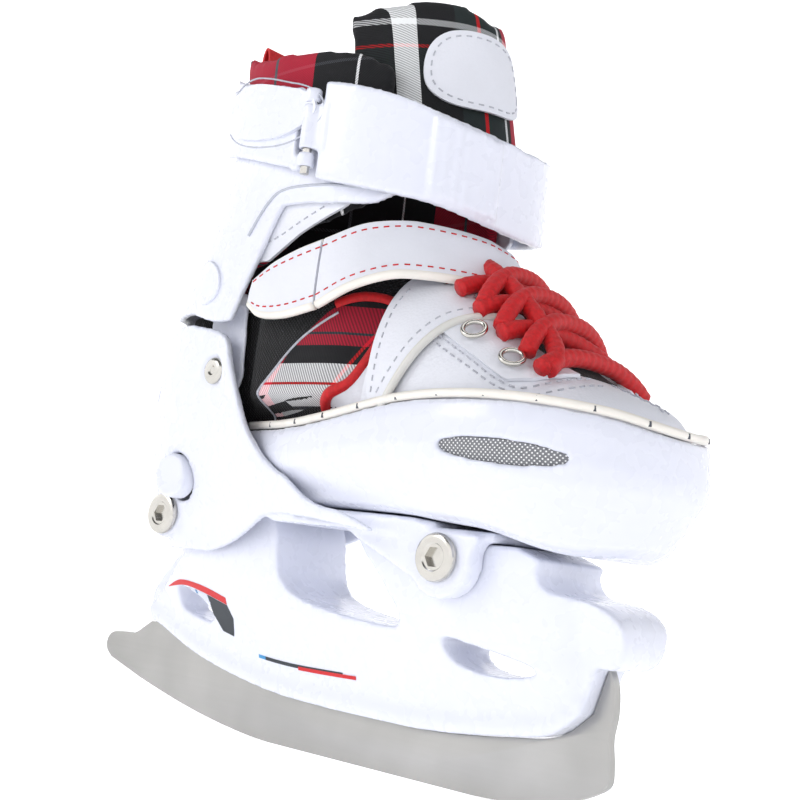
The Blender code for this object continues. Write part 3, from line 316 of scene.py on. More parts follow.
def u_shell(outer, inner, floor=False):
    """A wall that is U-shaped from above, mirrored in the plane y = 0.

    outer and inner are the right half's columns of points. The first column lies on the centre line and
    the last one at the open end. Each column runs from bottom to top. With floor, the two sides are joined
    across the bottom.
    """
    points = []
    index = {}
    for layer, columns in enumerate((outer, inner)):
        for i, column in enumerate(columns):
            for v, (x, y, z) in enumerate(column):
                for side in (1, -1):
                    if i == 0 and side == -1:
                        index[layer, i, v, side] = index[layer, i, v, 1]
                        continue
                    index[layer, i, v, side] = len(points)
                    points.append((x, side * (y if i else 0.0), z))
    last = len(outer) - 1
    top = len(outer[0]) - 1
    faces = []
    for side in (1, -1):
        for i in range(last):
            for v in range(top):
                for layer in (0, 1):
                    faces.append([index[layer, i, v, side], index[layer, i + 1, v, side],
                                  index[layer, i + 1, v + 1, side], index[layer, i, v + 1, side]])
            faces.append([index[0, i, top, side], index[0, i + 1, top, side],
                          index[1, i + 1, top, side], index[1, i, top, side]])
            if not floor:
                faces.append([index[0, i, 0, side], index[0, i + 1, 0, side],
                              index[1, i + 1, 0, side], index[1, i, 0, side]])
        for v in range(top):
            faces.append([index[0, last, v, side], index[0, last, v + 1, side],
                          index[1, last, v + 1, side], index[1, last, v, side]])
    if floor:
        for layer in (0, 1):
            for i in range(last):
                ring = [index[layer, i, 0, 1], index[layer, i + 1, 0, 1],
                        index[layer, i + 1, 0, -1], index[layer, i, 0, -1]]
                faces.append(list(dict.fromkeys(ring)))
        faces.append([index[0, last, 0, 1], index[0, last, 0, -1],
                      index[1, last, 0, -1], index[1, last, 0, 1]])
    return mesh_of(points, faces)


def blade_edge(x):
    """Height of the holder's lower edge over the blade."""
    return smooth(BLADE_EDGE, x)


def holder_half_width(x, z):
    """Narrow over the blade, flaring up to the towers, and a little fuller at the nose."""
    above = z - blade_edge(min(x, 100))
    nose = NOSE_SWELL * ease((x - 70) / 30) * ease((60 - z) / 20)
    full = SOLE_HALF_WIDTH + (TOWER_HALF_WIDTH - SOLE_HALF_WIDTH) * ease((above - 4) / 40) + nose
    low = HEEL_STATIONS[0][0]
    back, centre, half = smooth(HEEL_STATIONS, max(z, low))
    reach = centre - back - HEEL_WALL - 1.5 + max(0.0, low - z) * 0.9
    share = min(max((centre - x) / reach, 0.0), 0.98)
    return min(full, (half - HEEL_WALL - 2 * FIT) * math.sqrt(1 - share ** 2))


def flare(x, z):
    """How much the shell widens towards the midfoot. The cuff above it has straight sides."""
    wider = MIDFOOT_FLARE * ease((x - FLARE_START) / FLARE_LENGTH) + BAND_FLARE * ease((x + 10) / 20)
    return wider * (1 - ease((z - 132) / 26))


def front_wrap(x, z):
    """The cuff's wings turn inwards round the shin, under the strap."""
    share = min(max((x - BAND_CENTRE) / (BAND_FRONT_REACH - BAND_THICKNESS), 0.0), 0.96)
    return 1 - ease((z - 150) / 30) * (1 - math.sqrt(1 - share ** 2))


def heel_point(t, z, inset, x_end):
    """A point of the heel's or the cuff's surface: t runs from 0 at the back to 1 at the open end."""
    back, centre, half = smooth(HEEL_STATIONS, z)
    turn = 0.45
    if t < turn:
        angle = t / turn * math.pi / 2
        reach = centre - back - inset
        return centre - reach * math.cos(angle) ** 0.9, -(half - inset) * math.sin(angle) ** 0.92, z
    x = centre + (x_end - centre) * (t - turn) / (1 - turn)
    return x, -((half + flare(x, z)) * front_wrap(x, z) - inset), z


def heel_column(t, low, high, rows, inset, x_end):
    """Points up the heel wall at t, between two edges given as functions of x."""
    column = []
    for r in range(rows):
        share = r / (rows - 1)
        z = 110.0
        for _ in range(8):
            x = heel_point(t, z, inset, x_end)[0]
            z = low(x) + (high(x) - low(x)) * share
        column.append(heel_point(t, z, inset, x_end))
    return column


def lug(sign):
    """One of the two cheeks that straddle the front tower, rounded about the front bolt."""
    x, z = FRONT_BOLT
    around = [(x + LUG_RADIUS * math.cos(a), z + LUG_RADIUS * math.sin(a))
              for a in spread(math.radians(10), math.radians(-145), 9)]
    outline = [(x + 14, FRONT_FLOOR + 1.5)] + around + [(24, 72), (16, FRONT_FLOOR + 1.5)]
    inner = TOWER_HALF_WIDTH + FIT
    return prism(outline, *sorted((sign * inner, sign * FRONT_BOLT_SEAT)))


def floor_slab():
    """The shell's floor: high over the rear tower, low under the sliding toe shell."""
    top = FLOOR_THICKNESS
    stations = ((-93, REAR_FLOOR, 10), (-84, REAR_FLOOR, 20), (-60, REAR_FLOOR, 24.5),
                (-40, REAR_FLOOR, 26), (-22, REAR_FLOOR, 27), (-13, FRONT_FLOOR, 27.5),
                (10, FRONT_FLOOR, 28.5), (34, FRONT_FLOOR, 26.5), (50, FRONT_FLOOR, 24.3),
                (66, FRONT_FLOOR, 23.6), (74, FRONT_FLOOR, 20))
    return loft([[(x, -w, z), (x, w, z), (x, w, z + top), (x, -w, z + top)] for x, z, w in stations])


def toe_plan(t, scale, inset):
    """A point round the toe shell from above: t is 0 at the front and 1 at the rear end."""
    turn = 0.5
    widest = smooth(TOE_HALF_WIDTHS, TOE_CURVE_START)
    if t < turn:
        angle = t / turn * math.pi / 2
        reach = TOE_FRONT - TOE_CURVE_START
        forward = reach * (1 - (1 - scale) * 0.5) * math.cos(angle) ** 0.86
        x = TOE_CURVE_START + forward - inset * math.cos(angle)
        return x, -(widest * scale - inset) * math.sin(angle) ** 0.86
    x = TOE_CURVE_START + (TOE_REAR - TOE_CURVE_START) * (t - turn) / (1 - turn)
    return x, -(smooth(TOE_HALF_WIDTHS, x) * scale - inset)


def toe_bottom(x):
    return smooth(TOE_BOTTOMS, x)


def toe_column(t, inset):
    """Points up the toe shell: flat bottom, chine, full side, and an edge that turns in."""
    rows = ((0.60, 0.0), (0.72, 0.06), (0.88, 0.32), (0.97, 0.48), (1.0, 0.62), (0.985, 0.86), (0.955, 1.0))
    column = []
    for scale, share in rows:
        x, y = toe_plan(t, scale, inset)
        low = toe_bottom(x) + inset
        high = smooth(TOE_TOPS, x)
        column.append((x, y, low + (high - low) * share))
    return column


def at_height(column, z):
    """The point of a column of points at this height."""
    for low, high in zip(column, column[1:]):
        if low[2] <= z <= high[2]:
            t = (z - low[2]) / (high[2] - low[2])
            return tuple(a + (b - a) * t for a, b in zip(low, high))
    return column[-1]


def slot_outline():
    """The side vent: a long slot with pointed ends."""
    x, z, half, high = 87.0, 99.6, 20.0, 3.3
    return [(x + half * math.cos(a), z - 0.05 * half * math.cos(a) + high * math.sin(a))
            for a in spread(0, math.tau, 17)[:-1]]


def cuff_low(x):
    return smooth(CUFF_BOTTOM, x)


def cuff_high(x):
    return smooth(CUFF_TOP, x)


def u_wall(count, low, high, inset, wall, x_end, rows=9):
    """A U-shaped wall on the heel's surface, between two edges, at this depth below the surface."""
    places = [k / (count - 1) for k in range(count)]
    outer = [heel_column(t, low, high, rows, inset, x_end) for t in places]
    inner = [heel_column(t, low, high, rows, inset + wall, x_end) for t in places]
    return u_shell(outer, inner)


def upright(centre, radius, low, high, segments=16):
    """A vertical round bar."""
    ring = [(centre[0] + radius * math.cos(math.tau * k / segments),
             centre[1] + radius * math.sin(math.tau * k / segments)) for k in range(segments)]
    return loft([[(x, y, z) for x, y in ring] for z in (low, high)])


def band_point(angle, depth=0.0):
    """A point of the strap's plan: 0 degrees is the front, 90 the outer side, and depth is inwards."""
    a = math.radians(angle)
    along = math.copysign(abs(math.cos(a)) ** 0.9, math.cos(a))
    across = math.copysign(abs(math.sin(a)) ** 0.92, math.sin(a))
    return BAND_CENTRE + (BAND_FRONT_REACH - depth) * along, -(BAND_HALF_WIDTH - depth) * across


def band_angle(x):
    """The angle at which the band passes x."""
    along = (x - BAND_CENTRE) / BAND_FRONT_REACH
    return math.degrees(math.acos(math.copysign(abs(along) ** (1 / 0.9), along)))


def band(angles, depth, thickness, trim=0.0):
    """A curved plate along the band, between its two edges."""
    rings = []
    for angle in angles:
        x, y = band_point(angle, depth)
        xi, yi = band_point(angle, depth + thickness)
        low, high = smooth(BAND_HEIGHTS, band_point(angle)[0])
        low, high = low + trim, high - trim
        rings.append([(x, y, low), (x, y, high), (xi, yi, high), (xi, yi, low)])
    return loft(rings)


def knuckle(pin, reach, low, high):
    """One knuckle of a vertical hinge, with the neck that ties it to a plate on its +X or -X side."""
    x, y = pin
    into = y - math.copysign(0.9, y)
    neck = prism([(x, low), (x + reach, low), (x + reach, high), (x, high)], into - 1.3, into + 1.3)
    return joined(upright(pin, KNUCKLE_RADIUS, low, high), neck)


def quarter_half(x):
    """Half width low in the shell, where the toe shell's rear and the toe upper have to slide past."""
    past_shell = smooth(TOE_HALF_WIDTHS, x - SIZE_TRAVEL) * 0.955 - TOE_WALL - SLIDE - FIT
    return min(past_shell, toe_half_width(VAMP_REAR, 0.955) - VAMP_INSET - VAMP_WALL - SLIDE)


def quarter_point(x, share, inset):
    """Half width and height of the liner's lower part: up the side, then leaning in over the instep."""
    floor = smooth(QUARTER_FLOOR, x) + inset
    top = smooth(QUARTER_TOP, x)
    z = floor + (top - floor) * share
    shoulder = smooth(TOE_TOPS, max(x, 0)) + 2 * PIPING_RADIUS + 2 * FIT
    low = quarter_half(max(x, TOE_REAR + SIZE_TRAVEL))
    high = smooth(QUARTER_UPPER, x)
    half = low + (high - low) * ease((z - shoulder) / 8)
    lean = smooth(QUARTER_LEAN, x) * max(0.0, (z - shoulder) / (top - shoulder)) ** 2.2
    sole_edge = SOLE_NARROWING * (1 - ease((z - floor) / SOLE_EDGE_HEIGHT))
    return half * (1 - lean) * (1 - sole_edge) - inset, z


def tongue_column(angle, depth, low, high, rows):
    column = []
    for z in spread(low, high, rows):
        back = TONGUE_LEAN * max(0.0, z - 205)
        a = math.radians(angle)
        column.append((BAND_CENTRE + (TONGUE_REACH - depth) * math.cos(a) - back,
                       -(TONGUE_HALF_WIDTH - depth) * math.sin(a), z))
    return column


def toe_half_width(x, scale):
    """Half width of the toe shell's plan at x."""
    widest = smooth(TOE_HALF_WIDTHS, TOE_CURVE_START)
    if x <= TOE_CURVE_START:
        return smooth(TOE_HALF_WIDTHS, x) * scale
    reach = (TOE_FRONT - TOE_CURVE_START) * (1 - (1 - scale) * 0.5)
    share = min(((x - TOE_CURVE_START) / reach) ** (1 / 0.86), 0.999)
    return widest * scale * math.sin(math.acos(share)) ** 0.86


def vamp_arch(x, depth, low_angle=0.0, high_angle=180.0, count=15):
    """Points over the toe upper's arch at x, from the outer side to the inner side."""
    half = toe_half_width(x + VAMP_INSET, 0.955) - VAMP_INSET - depth
    crown = smooth(VAMP_CROWN, x) - depth
    base = VAMP_BASE
    points = []
    for angle in spread(low_angle, high_angle, count):
        a = math.radians(angle)
        c, s = math.cos(a), math.sin(a)
        points.append((x, -half * math.copysign(abs(c) ** 0.85, c), base + (crown - base) * s ** 0.9))
    return points


def ring_mesh(centre, axis, radius, wire, segments=14, sides=6):
    """A round wire ring about an axis."""
    axis = Vector(axis).normalized()
    u = axis.orthogonal().normalized()
    v = axis.cross(u)
    points = []
    for k in range(segments):
        a = math.tau * k / segments
        out = u * math.cos(a) + v * math.sin(a)
        for m in range(sides):
            b = math.tau * m / sides
            points.append(Vector(centre) + out * (radius + wire * math.cos(b)) + axis * wire * math.sin(b))
    faces = []
    for k in range(segments):
        for m in range(sides):
            a, b = k * sides + m, k * sides + (m + 1) % sides
            c, d = ((k + 1) % segments) * sides + (m + 1) % sides, ((k + 1) % segments) * sides + m
            faces.append((a, b, c, d))
    return mesh_of(points, faces)


def over_vamp(x, angle, lift):
    """A point this far off the eyestay's outer face, and the direction out of it."""
    depth = -FIT - EYESTAY_THICKNESS

    def at(place, turn):
        return Vector(vamp_arch(place, depth, turn, turn + 1, 2)[0])

    along = at(x + 2, angle) - at(x - 2, angle)
    around = at(x, angle + 2) - at(x, angle - 2)
    out = around.cross(along).normalized()
    if out.z < 0:
        out.negate()
    return at(x, angle) + out * lift, out


# ---------------------------------------------------------------- settings

class SkateSizes(bpy.types.PropertyGroup):
    """Sizes of the surface detail"""
    voxel: bpy.props.FloatProperty(
        name="Mould voxel", description="Mesh size of the moulded shells", default=0.0009, unit="LENGTH")
    cord: bpy.props.FloatProperty(
        name="Lace radius", description="Half the thickness of the round lace", default=0.0027, unit="LENGTH")
    stitch: bpy.props.FloatProperty(
        name="Stitch", description="Length of one stitch", default=0.0021, unit="LENGTH")
    stitch_gap: bpy.props.FloatProperty(
        name="Stitch gap", description="Space between two stitches", default=0.0015, unit="LENGTH")


class SkateColours(bpy.types.PropertyGroup):
    """Colours, as sRGB hex values"""
    shell: bpy.props.StringProperty(name="Shell", description="Moulded shell", default="#E2E5F1")
    # The grey of the grey mouldings, also used as painted shade in the grooves of the white cuff and anchor
    # pad.
    grey_parts_and_groove_shade: bpy.props.StringProperty(name="Grey parts", description="Grey mouldings", default="#B9BDC8")
    steel: bpy.props.StringProperty(name="Blade", description="Ground blade steel", default="#B4B3B0")
    leather: bpy.props.StringProperty(name="Leatherette", description="Coated fabric", default="#E4E6EE")
    binding: bpy.props.StringProperty(name="Binding", description="Edge binding", default="#F2EEE6")
    red: bpy.props.StringProperty(name="Red", description="Lace, trim and piping", default="#CF0A14")
    crimson: bpy.props.StringProperty(name="Crimson", description="Red of the plaid", default="#C01436")
    black: bpy.props.StringProperty(name="Black", description="Mesh and plaid ground", default="#0D0E12")
    navy: bpy.props.StringProperty(name="Dark print", description="Printed dark grey", default="#232B33")


def sizes():
    return bpy.context.scene.skate_sizes


def colours():
    return bpy.context.scene.skate_colours


# ---------------------------------------------------------------- materials

def linear(code):
    """An sRGB hex value as linear red, green, blue and alpha."""
    values = [int(code[i:i + 2], 16) / 255 for i in (1, 3, 5)]
    return (*[v / 12.92 if v <= 0.04045 else ((v + 0.055) / 1.055) ** 2.4 for v in values], 1.0)


def add_node(tree, kind, inputs=None, **settings):
    """Adds a node, sets its properties, then fills its inputs with values or links."""
    made = tree.nodes.new(kind)
    for name, value in settings.items():
        setattr(made, name, value)
    for name, value in (inputs or {}).items():
        if isinstance(value, bpy.types.NodeSocket):
            tree.links.new(value, made.inputs[name])
        else:
            made.inputs[name].default_value = value
    return made


def surface(name, **values):
    """A named material with its Principled shader, or None for the tree where it was made before."""
    made = bpy.data.materials.get(name)
    if made:
        return made, None, None
    made = bpy.data.materials.new(name)
    made.use_nodes = True
    tree = made.node_tree
    shader = tree.nodes["Principled BSDF"]
    for key, value in values.items():
        shader.inputs[key.replace("_", " ")].default_value = value
    return made, tree, shader


def per_mm(size):
    """Texture scale whose pattern repeats about once in this many millimetres of object space."""
    return 1000.0 / size


def grain(tree, size, detail=2.0, kind="ShaderNodeTexNoise", stretch=(1, 1, 1)):
    """The value of a noise or cell pattern of this grain size in mm."""
    place = add_node(tree, "ShaderNodeTexCoord").outputs["Object"]
    place = add_node(tree, "ShaderNodeMapping", {"Vector": place, "Scale": stretch}).outputs["Vector"]
    inputs = {"Vector": place, "Scale": per_mm(size)}
    if kind == "ShaderNodeTexNoise":
        inputs["Detail"] = detail
        return add_node(tree, kind, inputs).outputs["Fac"]
    return add_node(tree, kind, inputs).outputs["Distance"]


def spread_value(tree, value, low, high):
    """A 0 to 1 pattern value mapped to a range."""
    return add_node(tree, "ShaderNodeMapRange", {"Value": value, "To Min": low,
            "To Max": high}).outputs["Result"]


def tint(tree, value, dark, light):
    """A colour between two, by a pattern value."""
    ramp = add_node(tree, "ShaderNodeValToRGB", {"Fac": value})
    ramp.color_ramp.elements[0].position = 0.3
    ramp.color_ramp.elements[0].color = dark
    ramp.color_ramp.elements[1].position = 0.7
    ramp.color_ramp.elements[1].color = light
    return ramp.outputs["Color"]


def raise_by(tree, shader, height, distance, strength=1.0):
    """Bump on the shader, its depth in millimetres."""
    bump = add_node(tree, "ShaderNodeBump", {"Height": height, "Distance": distance * MM,
            "Strength": strength})
    tree.links.new(bump.outputs["Normal"], shader.inputs["Normal"])


def scaled(colour, factor):
    return tuple(min(1.0, c * factor) for c in colour[:3]) + (1.0,)


def moulded_polypropylene(name, code):
    """Injection-moulded polypropylene: a glossy skin, faintly waved by flow, that lets a little light in."""
    made, tree, shader = surface(name, Roughness=0.27, IOR=1.49, Coat_Weight=0.25, Coat_Roughness=0.12,
                                 Subsurface_Weight=0.06, Subsurface_Radius=(0.004, 0.004, 0.005))
    if tree:
        base = linear(code)
        tree.links.new(tint(tree, grain(tree, 38), scaled(base, 0.985), base), shader.inputs["Base Color"])
        tree.links.new(spread_value(tree, grain(tree, 6), 0.24, 0.31), shader.inputs["Roughness"])
        raise_by(tree, shader, grain(tree, 9), 0.02, 0.4)
    return made


def ground_stainless(name, code):
    """Stainless strip steel, ground along its length: satin, with fine lines that stretch highlights."""
    made, tree, shader = surface(name, Metallic=1.0, Roughness=0.34, Anisotropic=0.45)
    if tree:
        base = linear(code)
        lines = grain(tree, 1.1, 3.0, stretch=(0.022, 1, 1))
        clouds = grain(tree, 26)
        tree.links.new(tint(tree, clouds, scaled(base, 0.86), base), shader.inputs["Base Color"])
        tree.links.new(spread_value(tree, lines, 0.26, 0.46), shader.inputs["Roughness"])
        raise_by(tree, shader, lines, 0.05, 0.6)
    return made


def nickel_plate(name, code="#D2CFC8"):
    """Nickel-plated steel: bright, a little warm, with faint polishing marks."""
    made, tree, shader = surface(name, Metallic=1.0, Roughness=0.2)
    if tree:
        base = linear(code)
        tree.links.new(tint(tree, grain(tree, 5), scaled(base, 0.9), base), shader.inputs["Base Color"])
        tree.links.new(spread_value(tree, grain(tree, 1.2), 0.14, 0.28), shader.inputs["Roughness"])
    return made


def coated_fabric(name, code):
    """Polyurethane-coated synthetic leather: a soft sheen broken by fine pebbled grain."""
    made, tree, shader = surface(name, Roughness=0.46, IOR=1.5, Sheen_Weight=0.08)
    if tree:
        base = linear(code)
        pebble = grain(tree, 1.0, kind="ShaderNodeTexVoronoi")
        tree.links.new(tint(tree, grain(tree, 16), scaled(base, 0.95), base), shader.inputs["Base Color"])
        tree.links.new(spread_value(tree, pebble, 0.38, 0.55), shader.inputs["Roughness"])
        raise_by(tree, shader, pebble, 0.14, 0.45)
    return made


def cloth_place(tree):
    """The two directions over a cloth, in millimetres, from the attribute laid on its mesh."""
    place = add_node(tree, "ShaderNodeAttribute", attribute_name="cloth_mm").outputs["Vector"]
    parts = add_node(tree, "ShaderNodeSeparateXYZ", {"Vector": place}).outputs
    return parts["X"], parts["Y"]


def calculate(tree, operation, a, b=0.0):
    made = add_node(tree, "ShaderNodeMath", operation=operation)
    for k, value in enumerate((a, b)):
        if isinstance(value, bpy.types.NodeSocket):
            tree.links.new(value, made.inputs[k])
        else:
            made.inputs[k].default_value = value
    return made.outputs[0]


def bands(tree, value, repeat, stripes):
    """Constant stripes: each is where it starts, as a share of the repeat, and its colour."""
    share = calculate(tree, "FRACT", calculate(tree, "DIVIDE", value, repeat))
    ramp = add_node(tree, "ShaderNodeValToRGB", {"Fac": share})
    ramp.color_ramp.interpolation = "CONSTANT"
    for k, (start, colour) in enumerate(stripes):
        element = ramp.color_ramp.elements[k] if k < 2 else ramp.color_ramp.elements.new(start)
        element.position = start
        element.color = colour
    return ramp.outputs["Color"]


def woven_plaid(name, warp, weft, repeat, thread=1.0, weft_share=(0.28, 0.72)):
    """Polyester plaid twill: two sets of coloured yarns that show in turn, in ribs too fine to see singly.

    The ribs are drawn 1 mm wide, about twice the real ones, so that they show.
    """
    made, tree, shader = surface(name, Roughness=0.82, Sheen_Weight=0.06, Sheen_Roughness=0.5, IOR=1.4)
    if tree:
        across, up = cloth_place(tree)
        rib = calculate(tree, "FRACT", calculate(tree, "DIVIDE", calculate(tree, "ADD", across, up), thread))
        front = calculate(tree, "GREATER_THAN", rib, 0.5)
        mixed = add_node(tree, "ShaderNodeMix", data_type="RGBA")
        tree.links.new(spread_value(tree, front, *weft_share), mixed.inputs[0])
        tree.links.new(bands(tree, across, repeat[0], warp), mixed.inputs[6])
        tree.links.new(bands(tree, up, repeat[1], weft), mixed.inputs[7])
        tree.links.new(mixed.outputs[2], shader.inputs["Base Color"])
        raise_by(tree, shader, calculate(tree, "PINGPONG", rib, 0.5), 0.2, 0.5)
    return made


def knitted_mesh(name, code):
    """Black polyester spacer mesh: a matt open knit over foam, drawn with cells 1.4 mm apart."""
    made, tree, shader = surface(name, Roughness=0.85, Sheen_Weight=0.06, Sheen_Roughness=0.4)
    if tree:
        base = linear(code)
        across, up = cloth_place(tree)
        waves = [calculate(tree, "SINE", calculate(tree, "MULTIPLY", value,
                math.tau / 1.4)) for value in (across, up)]
        cell = calculate(tree, "MULTIPLY", waves[0], waves[1])
        tree.links.new(tint(tree, cell, scaled(base, 0.4), scaled(base, 2.0)), shader.inputs["Base Color"])
        raise_by(tree, shader, cell, 0.3, 0.7)
    return made


def braided_polyester(name, code):
    """Braided or woven polyester: saturated, matt and slightly fuzzy."""
    made, tree, shader = surface(name, Roughness=0.66, Sheen_Weight=0.08, Sheen_Roughness=0.45)
    if tree:
        base = linear(code)
        tree.links.new(tint(tree, grain(tree, 1.1), scaled(base, 0.72), base), shader.inputs["Base Color"])
        raise_by(tree, shader, grain(tree, 0.7, kind="ShaderNodeTexVoronoi"), 0.1, 0.4)
    return made


def soft_vinyl(name, code):
    """Extruded soft vinyl binding: warm off-white and half matt."""
    made, tree, shader = surface(name, Roughness=0.42, IOR=1.52, Subsurface_Weight=0.08,
                                 Subsurface_Radius=(0.003, 0.002, 0.002))
    if tree:
        base = linear(code)
        tree.links.new(tint(tree, grain(tree, 12), scaled(base, 0.94), base), shader.inputs["Base Color"])
        raise_by(tree, shader, grain(tree, 3), 0.05, 0.4)
    return made


def screen_print(name, code):
    """Screen-printed ink on plastic or coated fabric: flat colour with a soft gloss."""
    made, tree, shader = surface(name, Roughness=0.35)
    if tree:
        base = linear(code)
        tree.links.new(tint(tree, grain(tree, 4), scaled(base, 0.92), base), shader.inputs["Base Color"])
        raise_by(tree, shader, grain(tree, 1.5), 0.02, 0.3)
    return made


def white_moulding():
    return moulded_polypropylene("moulded polypropylene, white", colours().shell)


# Grey mouldings, and the painted shade laid in the grooves of the white cuff and anchor pad.
def grey_moulding_and_groove_shade():
    return moulded_polypropylene("moulded polypropylene, grey, and painted groove shade", colours().grey_parts_and_groove_shade)


def white_leather():
    return coated_fabric("coated fabric, white", colours().leather)


def plaid_material():
    """Big blocks of black, crimson and white, crossed by thin lines."""
    black, crimson = linear(colours().black), linear(colours().crimson)
    white, thin, grey = linear("#F4F4F6"), linear(colours().red), linear("#55585F")
    warp = ((0.0, black), (0.17, grey), (0.178, black), (0.34, white), (0.348, black), (0.50, crimson),
            (0.66, grey),
            (0.668, crimson), (0.86, black), (0.90, white), (0.91, black))
    weft = ((0.0, black), (0.20, grey), (0.22, black), (0.50, grey), (0.52, black), (0.90, thin), (0.92,
            black))
    return woven_plaid("woven plaid", warp, weft, (128.0, 54.0), 1.0, (0.05, 0.45))


# ---------------------------------------------------------------- pieces

def piece_of(name, mesh, material, body):
    """Links a mesh as a piece that rides on a body."""
    mesh.materials.clear()
    mesh.materials.append(material)
    made = bpy.data.objects.new(name, mesh)
    bpy.context.scene.collection.objects.link(made)
    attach(made, body)
    return made


def stand_for(name, mesh, material, *nodes):
    """A piece that takes the place and body of the CAD nodes it replaces."""
    made = piece_of(name, mesh, material, BODY_OF[nodes[0]])
    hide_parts(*nodes)
    return made


def finished(mesh, *steps, angle=40):
    """The mesh with these modifiers applied. Each step is a kind and its settings."""
    holder = bpy.data.objects.new("holder", mesh)
    bpy.context.scene.collection.objects.link(holder)
    for kind, settings in steps:
        step = holder.modifiers.new(kind, kind)
        for key, value in settings.items():
            setattr(step, key, value)
    bpy.context.view_layer.update()
    seen = holder.evaluated_get(bpy.context.evaluated_depsgraph_get())
    made = bpy.data.meshes.new_from_object(seen)
    bpy.data.objects.remove(holder)
    made.shade_smooth()
    if angle < 180:
        made.set_sharp_from_angle(angle=math.radians(angle))
    return made


def moulded(mesh, rounds=7, keep=0.4, voxel=None):
    """Rounds every edge and inner corner of a closed mesh, as a mould tool does."""
    return finished(
        mesh,
        ("REMESH", {"mode": "VOXEL", "voxel_size": voxel or sizes().voxel, "adaptivity": 0.0}),
        ("SMOOTH", {"factor": 0.5, "iterations": rounds}),
        ("DECIMATE", {"ratio": keep}),
        angle=180,
    )


def bevelled(mesh, width, segments=3):
    """Sharp edges rounded by a narrow bevel, for turned metal and thin plates."""
    return finished(
        mesh,
        ("BEVEL", {"width": width * MM, "segments": segments, "limit_method": "ANGLE",
                   "angle_limit": math.radians(35), "use_clamp_overlap": True}),
    )


def merged(meshes):
    """Several meshes as one, without a Boolean."""
    bm = bmesh.new()
    for mesh in meshes:
        bm.from_mesh(mesh)
    made = bpy.data.meshes.new("mesh")
    bm.to_mesh(made)
    bm.free()
    return made


def lay_cloth(mesh, place):
    """Stores on each point where it lies on the flat cloth, in millimetres."""
    layer = mesh.attributes.new("cloth_mm", "FLOAT_VECTOR", "POINT")
    for vert, item in zip(mesh.vertices, layer.data):
        u, v = place(vert.co / MM)
        item.vector = (u, v, 0.0)
    return mesh


def rounded(points, per=6, closed=True):
    """A smooth curve through a few points (Catmull-Rom)."""
    found = []
    count = len(points)
    spans = count if closed else count - 1
    for k in range(spans):
        def at(i):
            return Vector(points[i % count] if closed else points[min(max(i, 0), count - 1)])
        p0, p1, p2, p3 = at(k - 1), at(k), at(k + 1), at(k + 2)
        for j in range(per):
            t = j / per
            found.append((p1 * 2 + (p2 - p0) * t + (p0 * 2 - p1 * 5 + p2 * 4 - p3) * t**2
                          + (p1 * 3 - p0 - p2 * 3 + p3) * t**3) / 2)
    if not closed:
        found.append(Vector(points[-1]))
    return found


def panel(outline, skin, lift, thickness, cell=2.0):
    """A thin layer on a skin: an outline in the skin's two directions, cut into cells, then laid on it.

    skin(u, v, lift) gives a point in mm.
    """
    bm = bmesh.new()
    bm.faces.new([bm.verts.new((u, v, 0.0)) for u, v in outline])
    for axis in (0, 1):
        low = min(p[axis] for p in outline)
        high = max(p[axis] for p in outline)
        direction = (1, 0, 0) if axis == 0 else (0, 1, 0)
        for k in range(1, max(2, math.ceil((high - low) / cell))):
            place = [0.0, 0.0, 0.0]
            place[axis] = low + k * cell
            bmesh.ops.bisect_plane(bm, geom=bm.verts[:] + bm.edges[:] + bm.faces[:],
                                   plane_co=place, plane_no=direction)
    bmesh.ops.triangulate(bm, faces=[f for f in bm.faces if len(f.verts) > 4])
    raised = bmesh.ops.extrude_face_region(bm, geom=bm.faces[:])
    for item in raised["geom"]:
        if isinstance(item, bmesh.types.BMVert):
            item.co.z = 1.0
    for vert in bm.verts:
        vert.co = Vector(skin(vert.co.x, vert.co.y, lift - thickness * (1.0 - vert.co.z))) * MM
    bmesh.ops.recalc_face_normals(bm, faces=bm.faces)
    made = bpy.data.meshes.new("mesh")
    bm.to_mesh(made)
    bm.free()
    return finished(made, angle=50)


def swept(points, radius, sides=10, shape=None):
    """A closed tube mesh along points in mm. shape(distance, angle) scales its radius."""
    points = [Vector(p) for p in points]
    rings = []
    travelled = 0.0
    up = Vector((0.13, 0.31, 1.0))
    for k, point in enumerate(points):
        ahead = points[min(k + 1, len(points) - 1)] - points[max(k - 1, 0)]
        if k:
            travelled += (point - points[k - 1]).length
        ahead.normalize()
        side = ahead.cross(up).normalized()
        up = side.cross(ahead).normalized()
        ring = []
        for s in range(sides):
            a = math.tau * s / sides
            r = radius * (shape(travelled, a) if shape else 1.0)
            ring.append(point + side * r * math.cos(a) + up * r * math.sin(a))
        rings.append(ring)
    made = loft(rings)
    made.shade_smooth()
    return made


def even(points, step):
    """Points about this far apart along a line."""
    points = [Vector(p) for p in points]
    found = [points[0]]
    rest = step
    for a, b in zip(points, points[1:]):
        length = (b - a).length
        done = 0.0
        while length - done >= rest:
            done += rest
            found.append(a.lerp(b, done / length))
            rest = step
        rest -= length - done
    return found


def stitches(points, radius=0.32, pitch=None):
    """A row of short raised stitches along a line in mm."""
    length = sizes().stitch / MM
    pitch = pitch or length + sizes().stitch_gap / MM
    line = even(points, pitch / 6)
    made = []
    share = max(2, round(6 * length / pitch))
    for k in range(0, len(line) - share, 6):
        run = line[k:k + share + 1]
        count = len(run) - 1
        made.append(swept(run, radius, 6, lambda s, a, n=count: 1.0))
    return merged(made)


# ---------------------------------------------------------------- skins that patches are laid on

def heel_skin(x, z, lift=0.0, side=-1):
    """The outer face of the heel shell and of the cuff above it."""
    back, centre, half = smooth(HEEL_STATIONS, z)
    if x >= centre:
        return x, side * ((half + flare(x, z)) * front_wrap(x, z) + lift), z
    across = min((centre - x) / (centre - back), 1.0) ** (1 / 0.9)
    return x, side * (half * math.sqrt(max(0.0, 1 - across**2)) ** 0.92 + lift), z


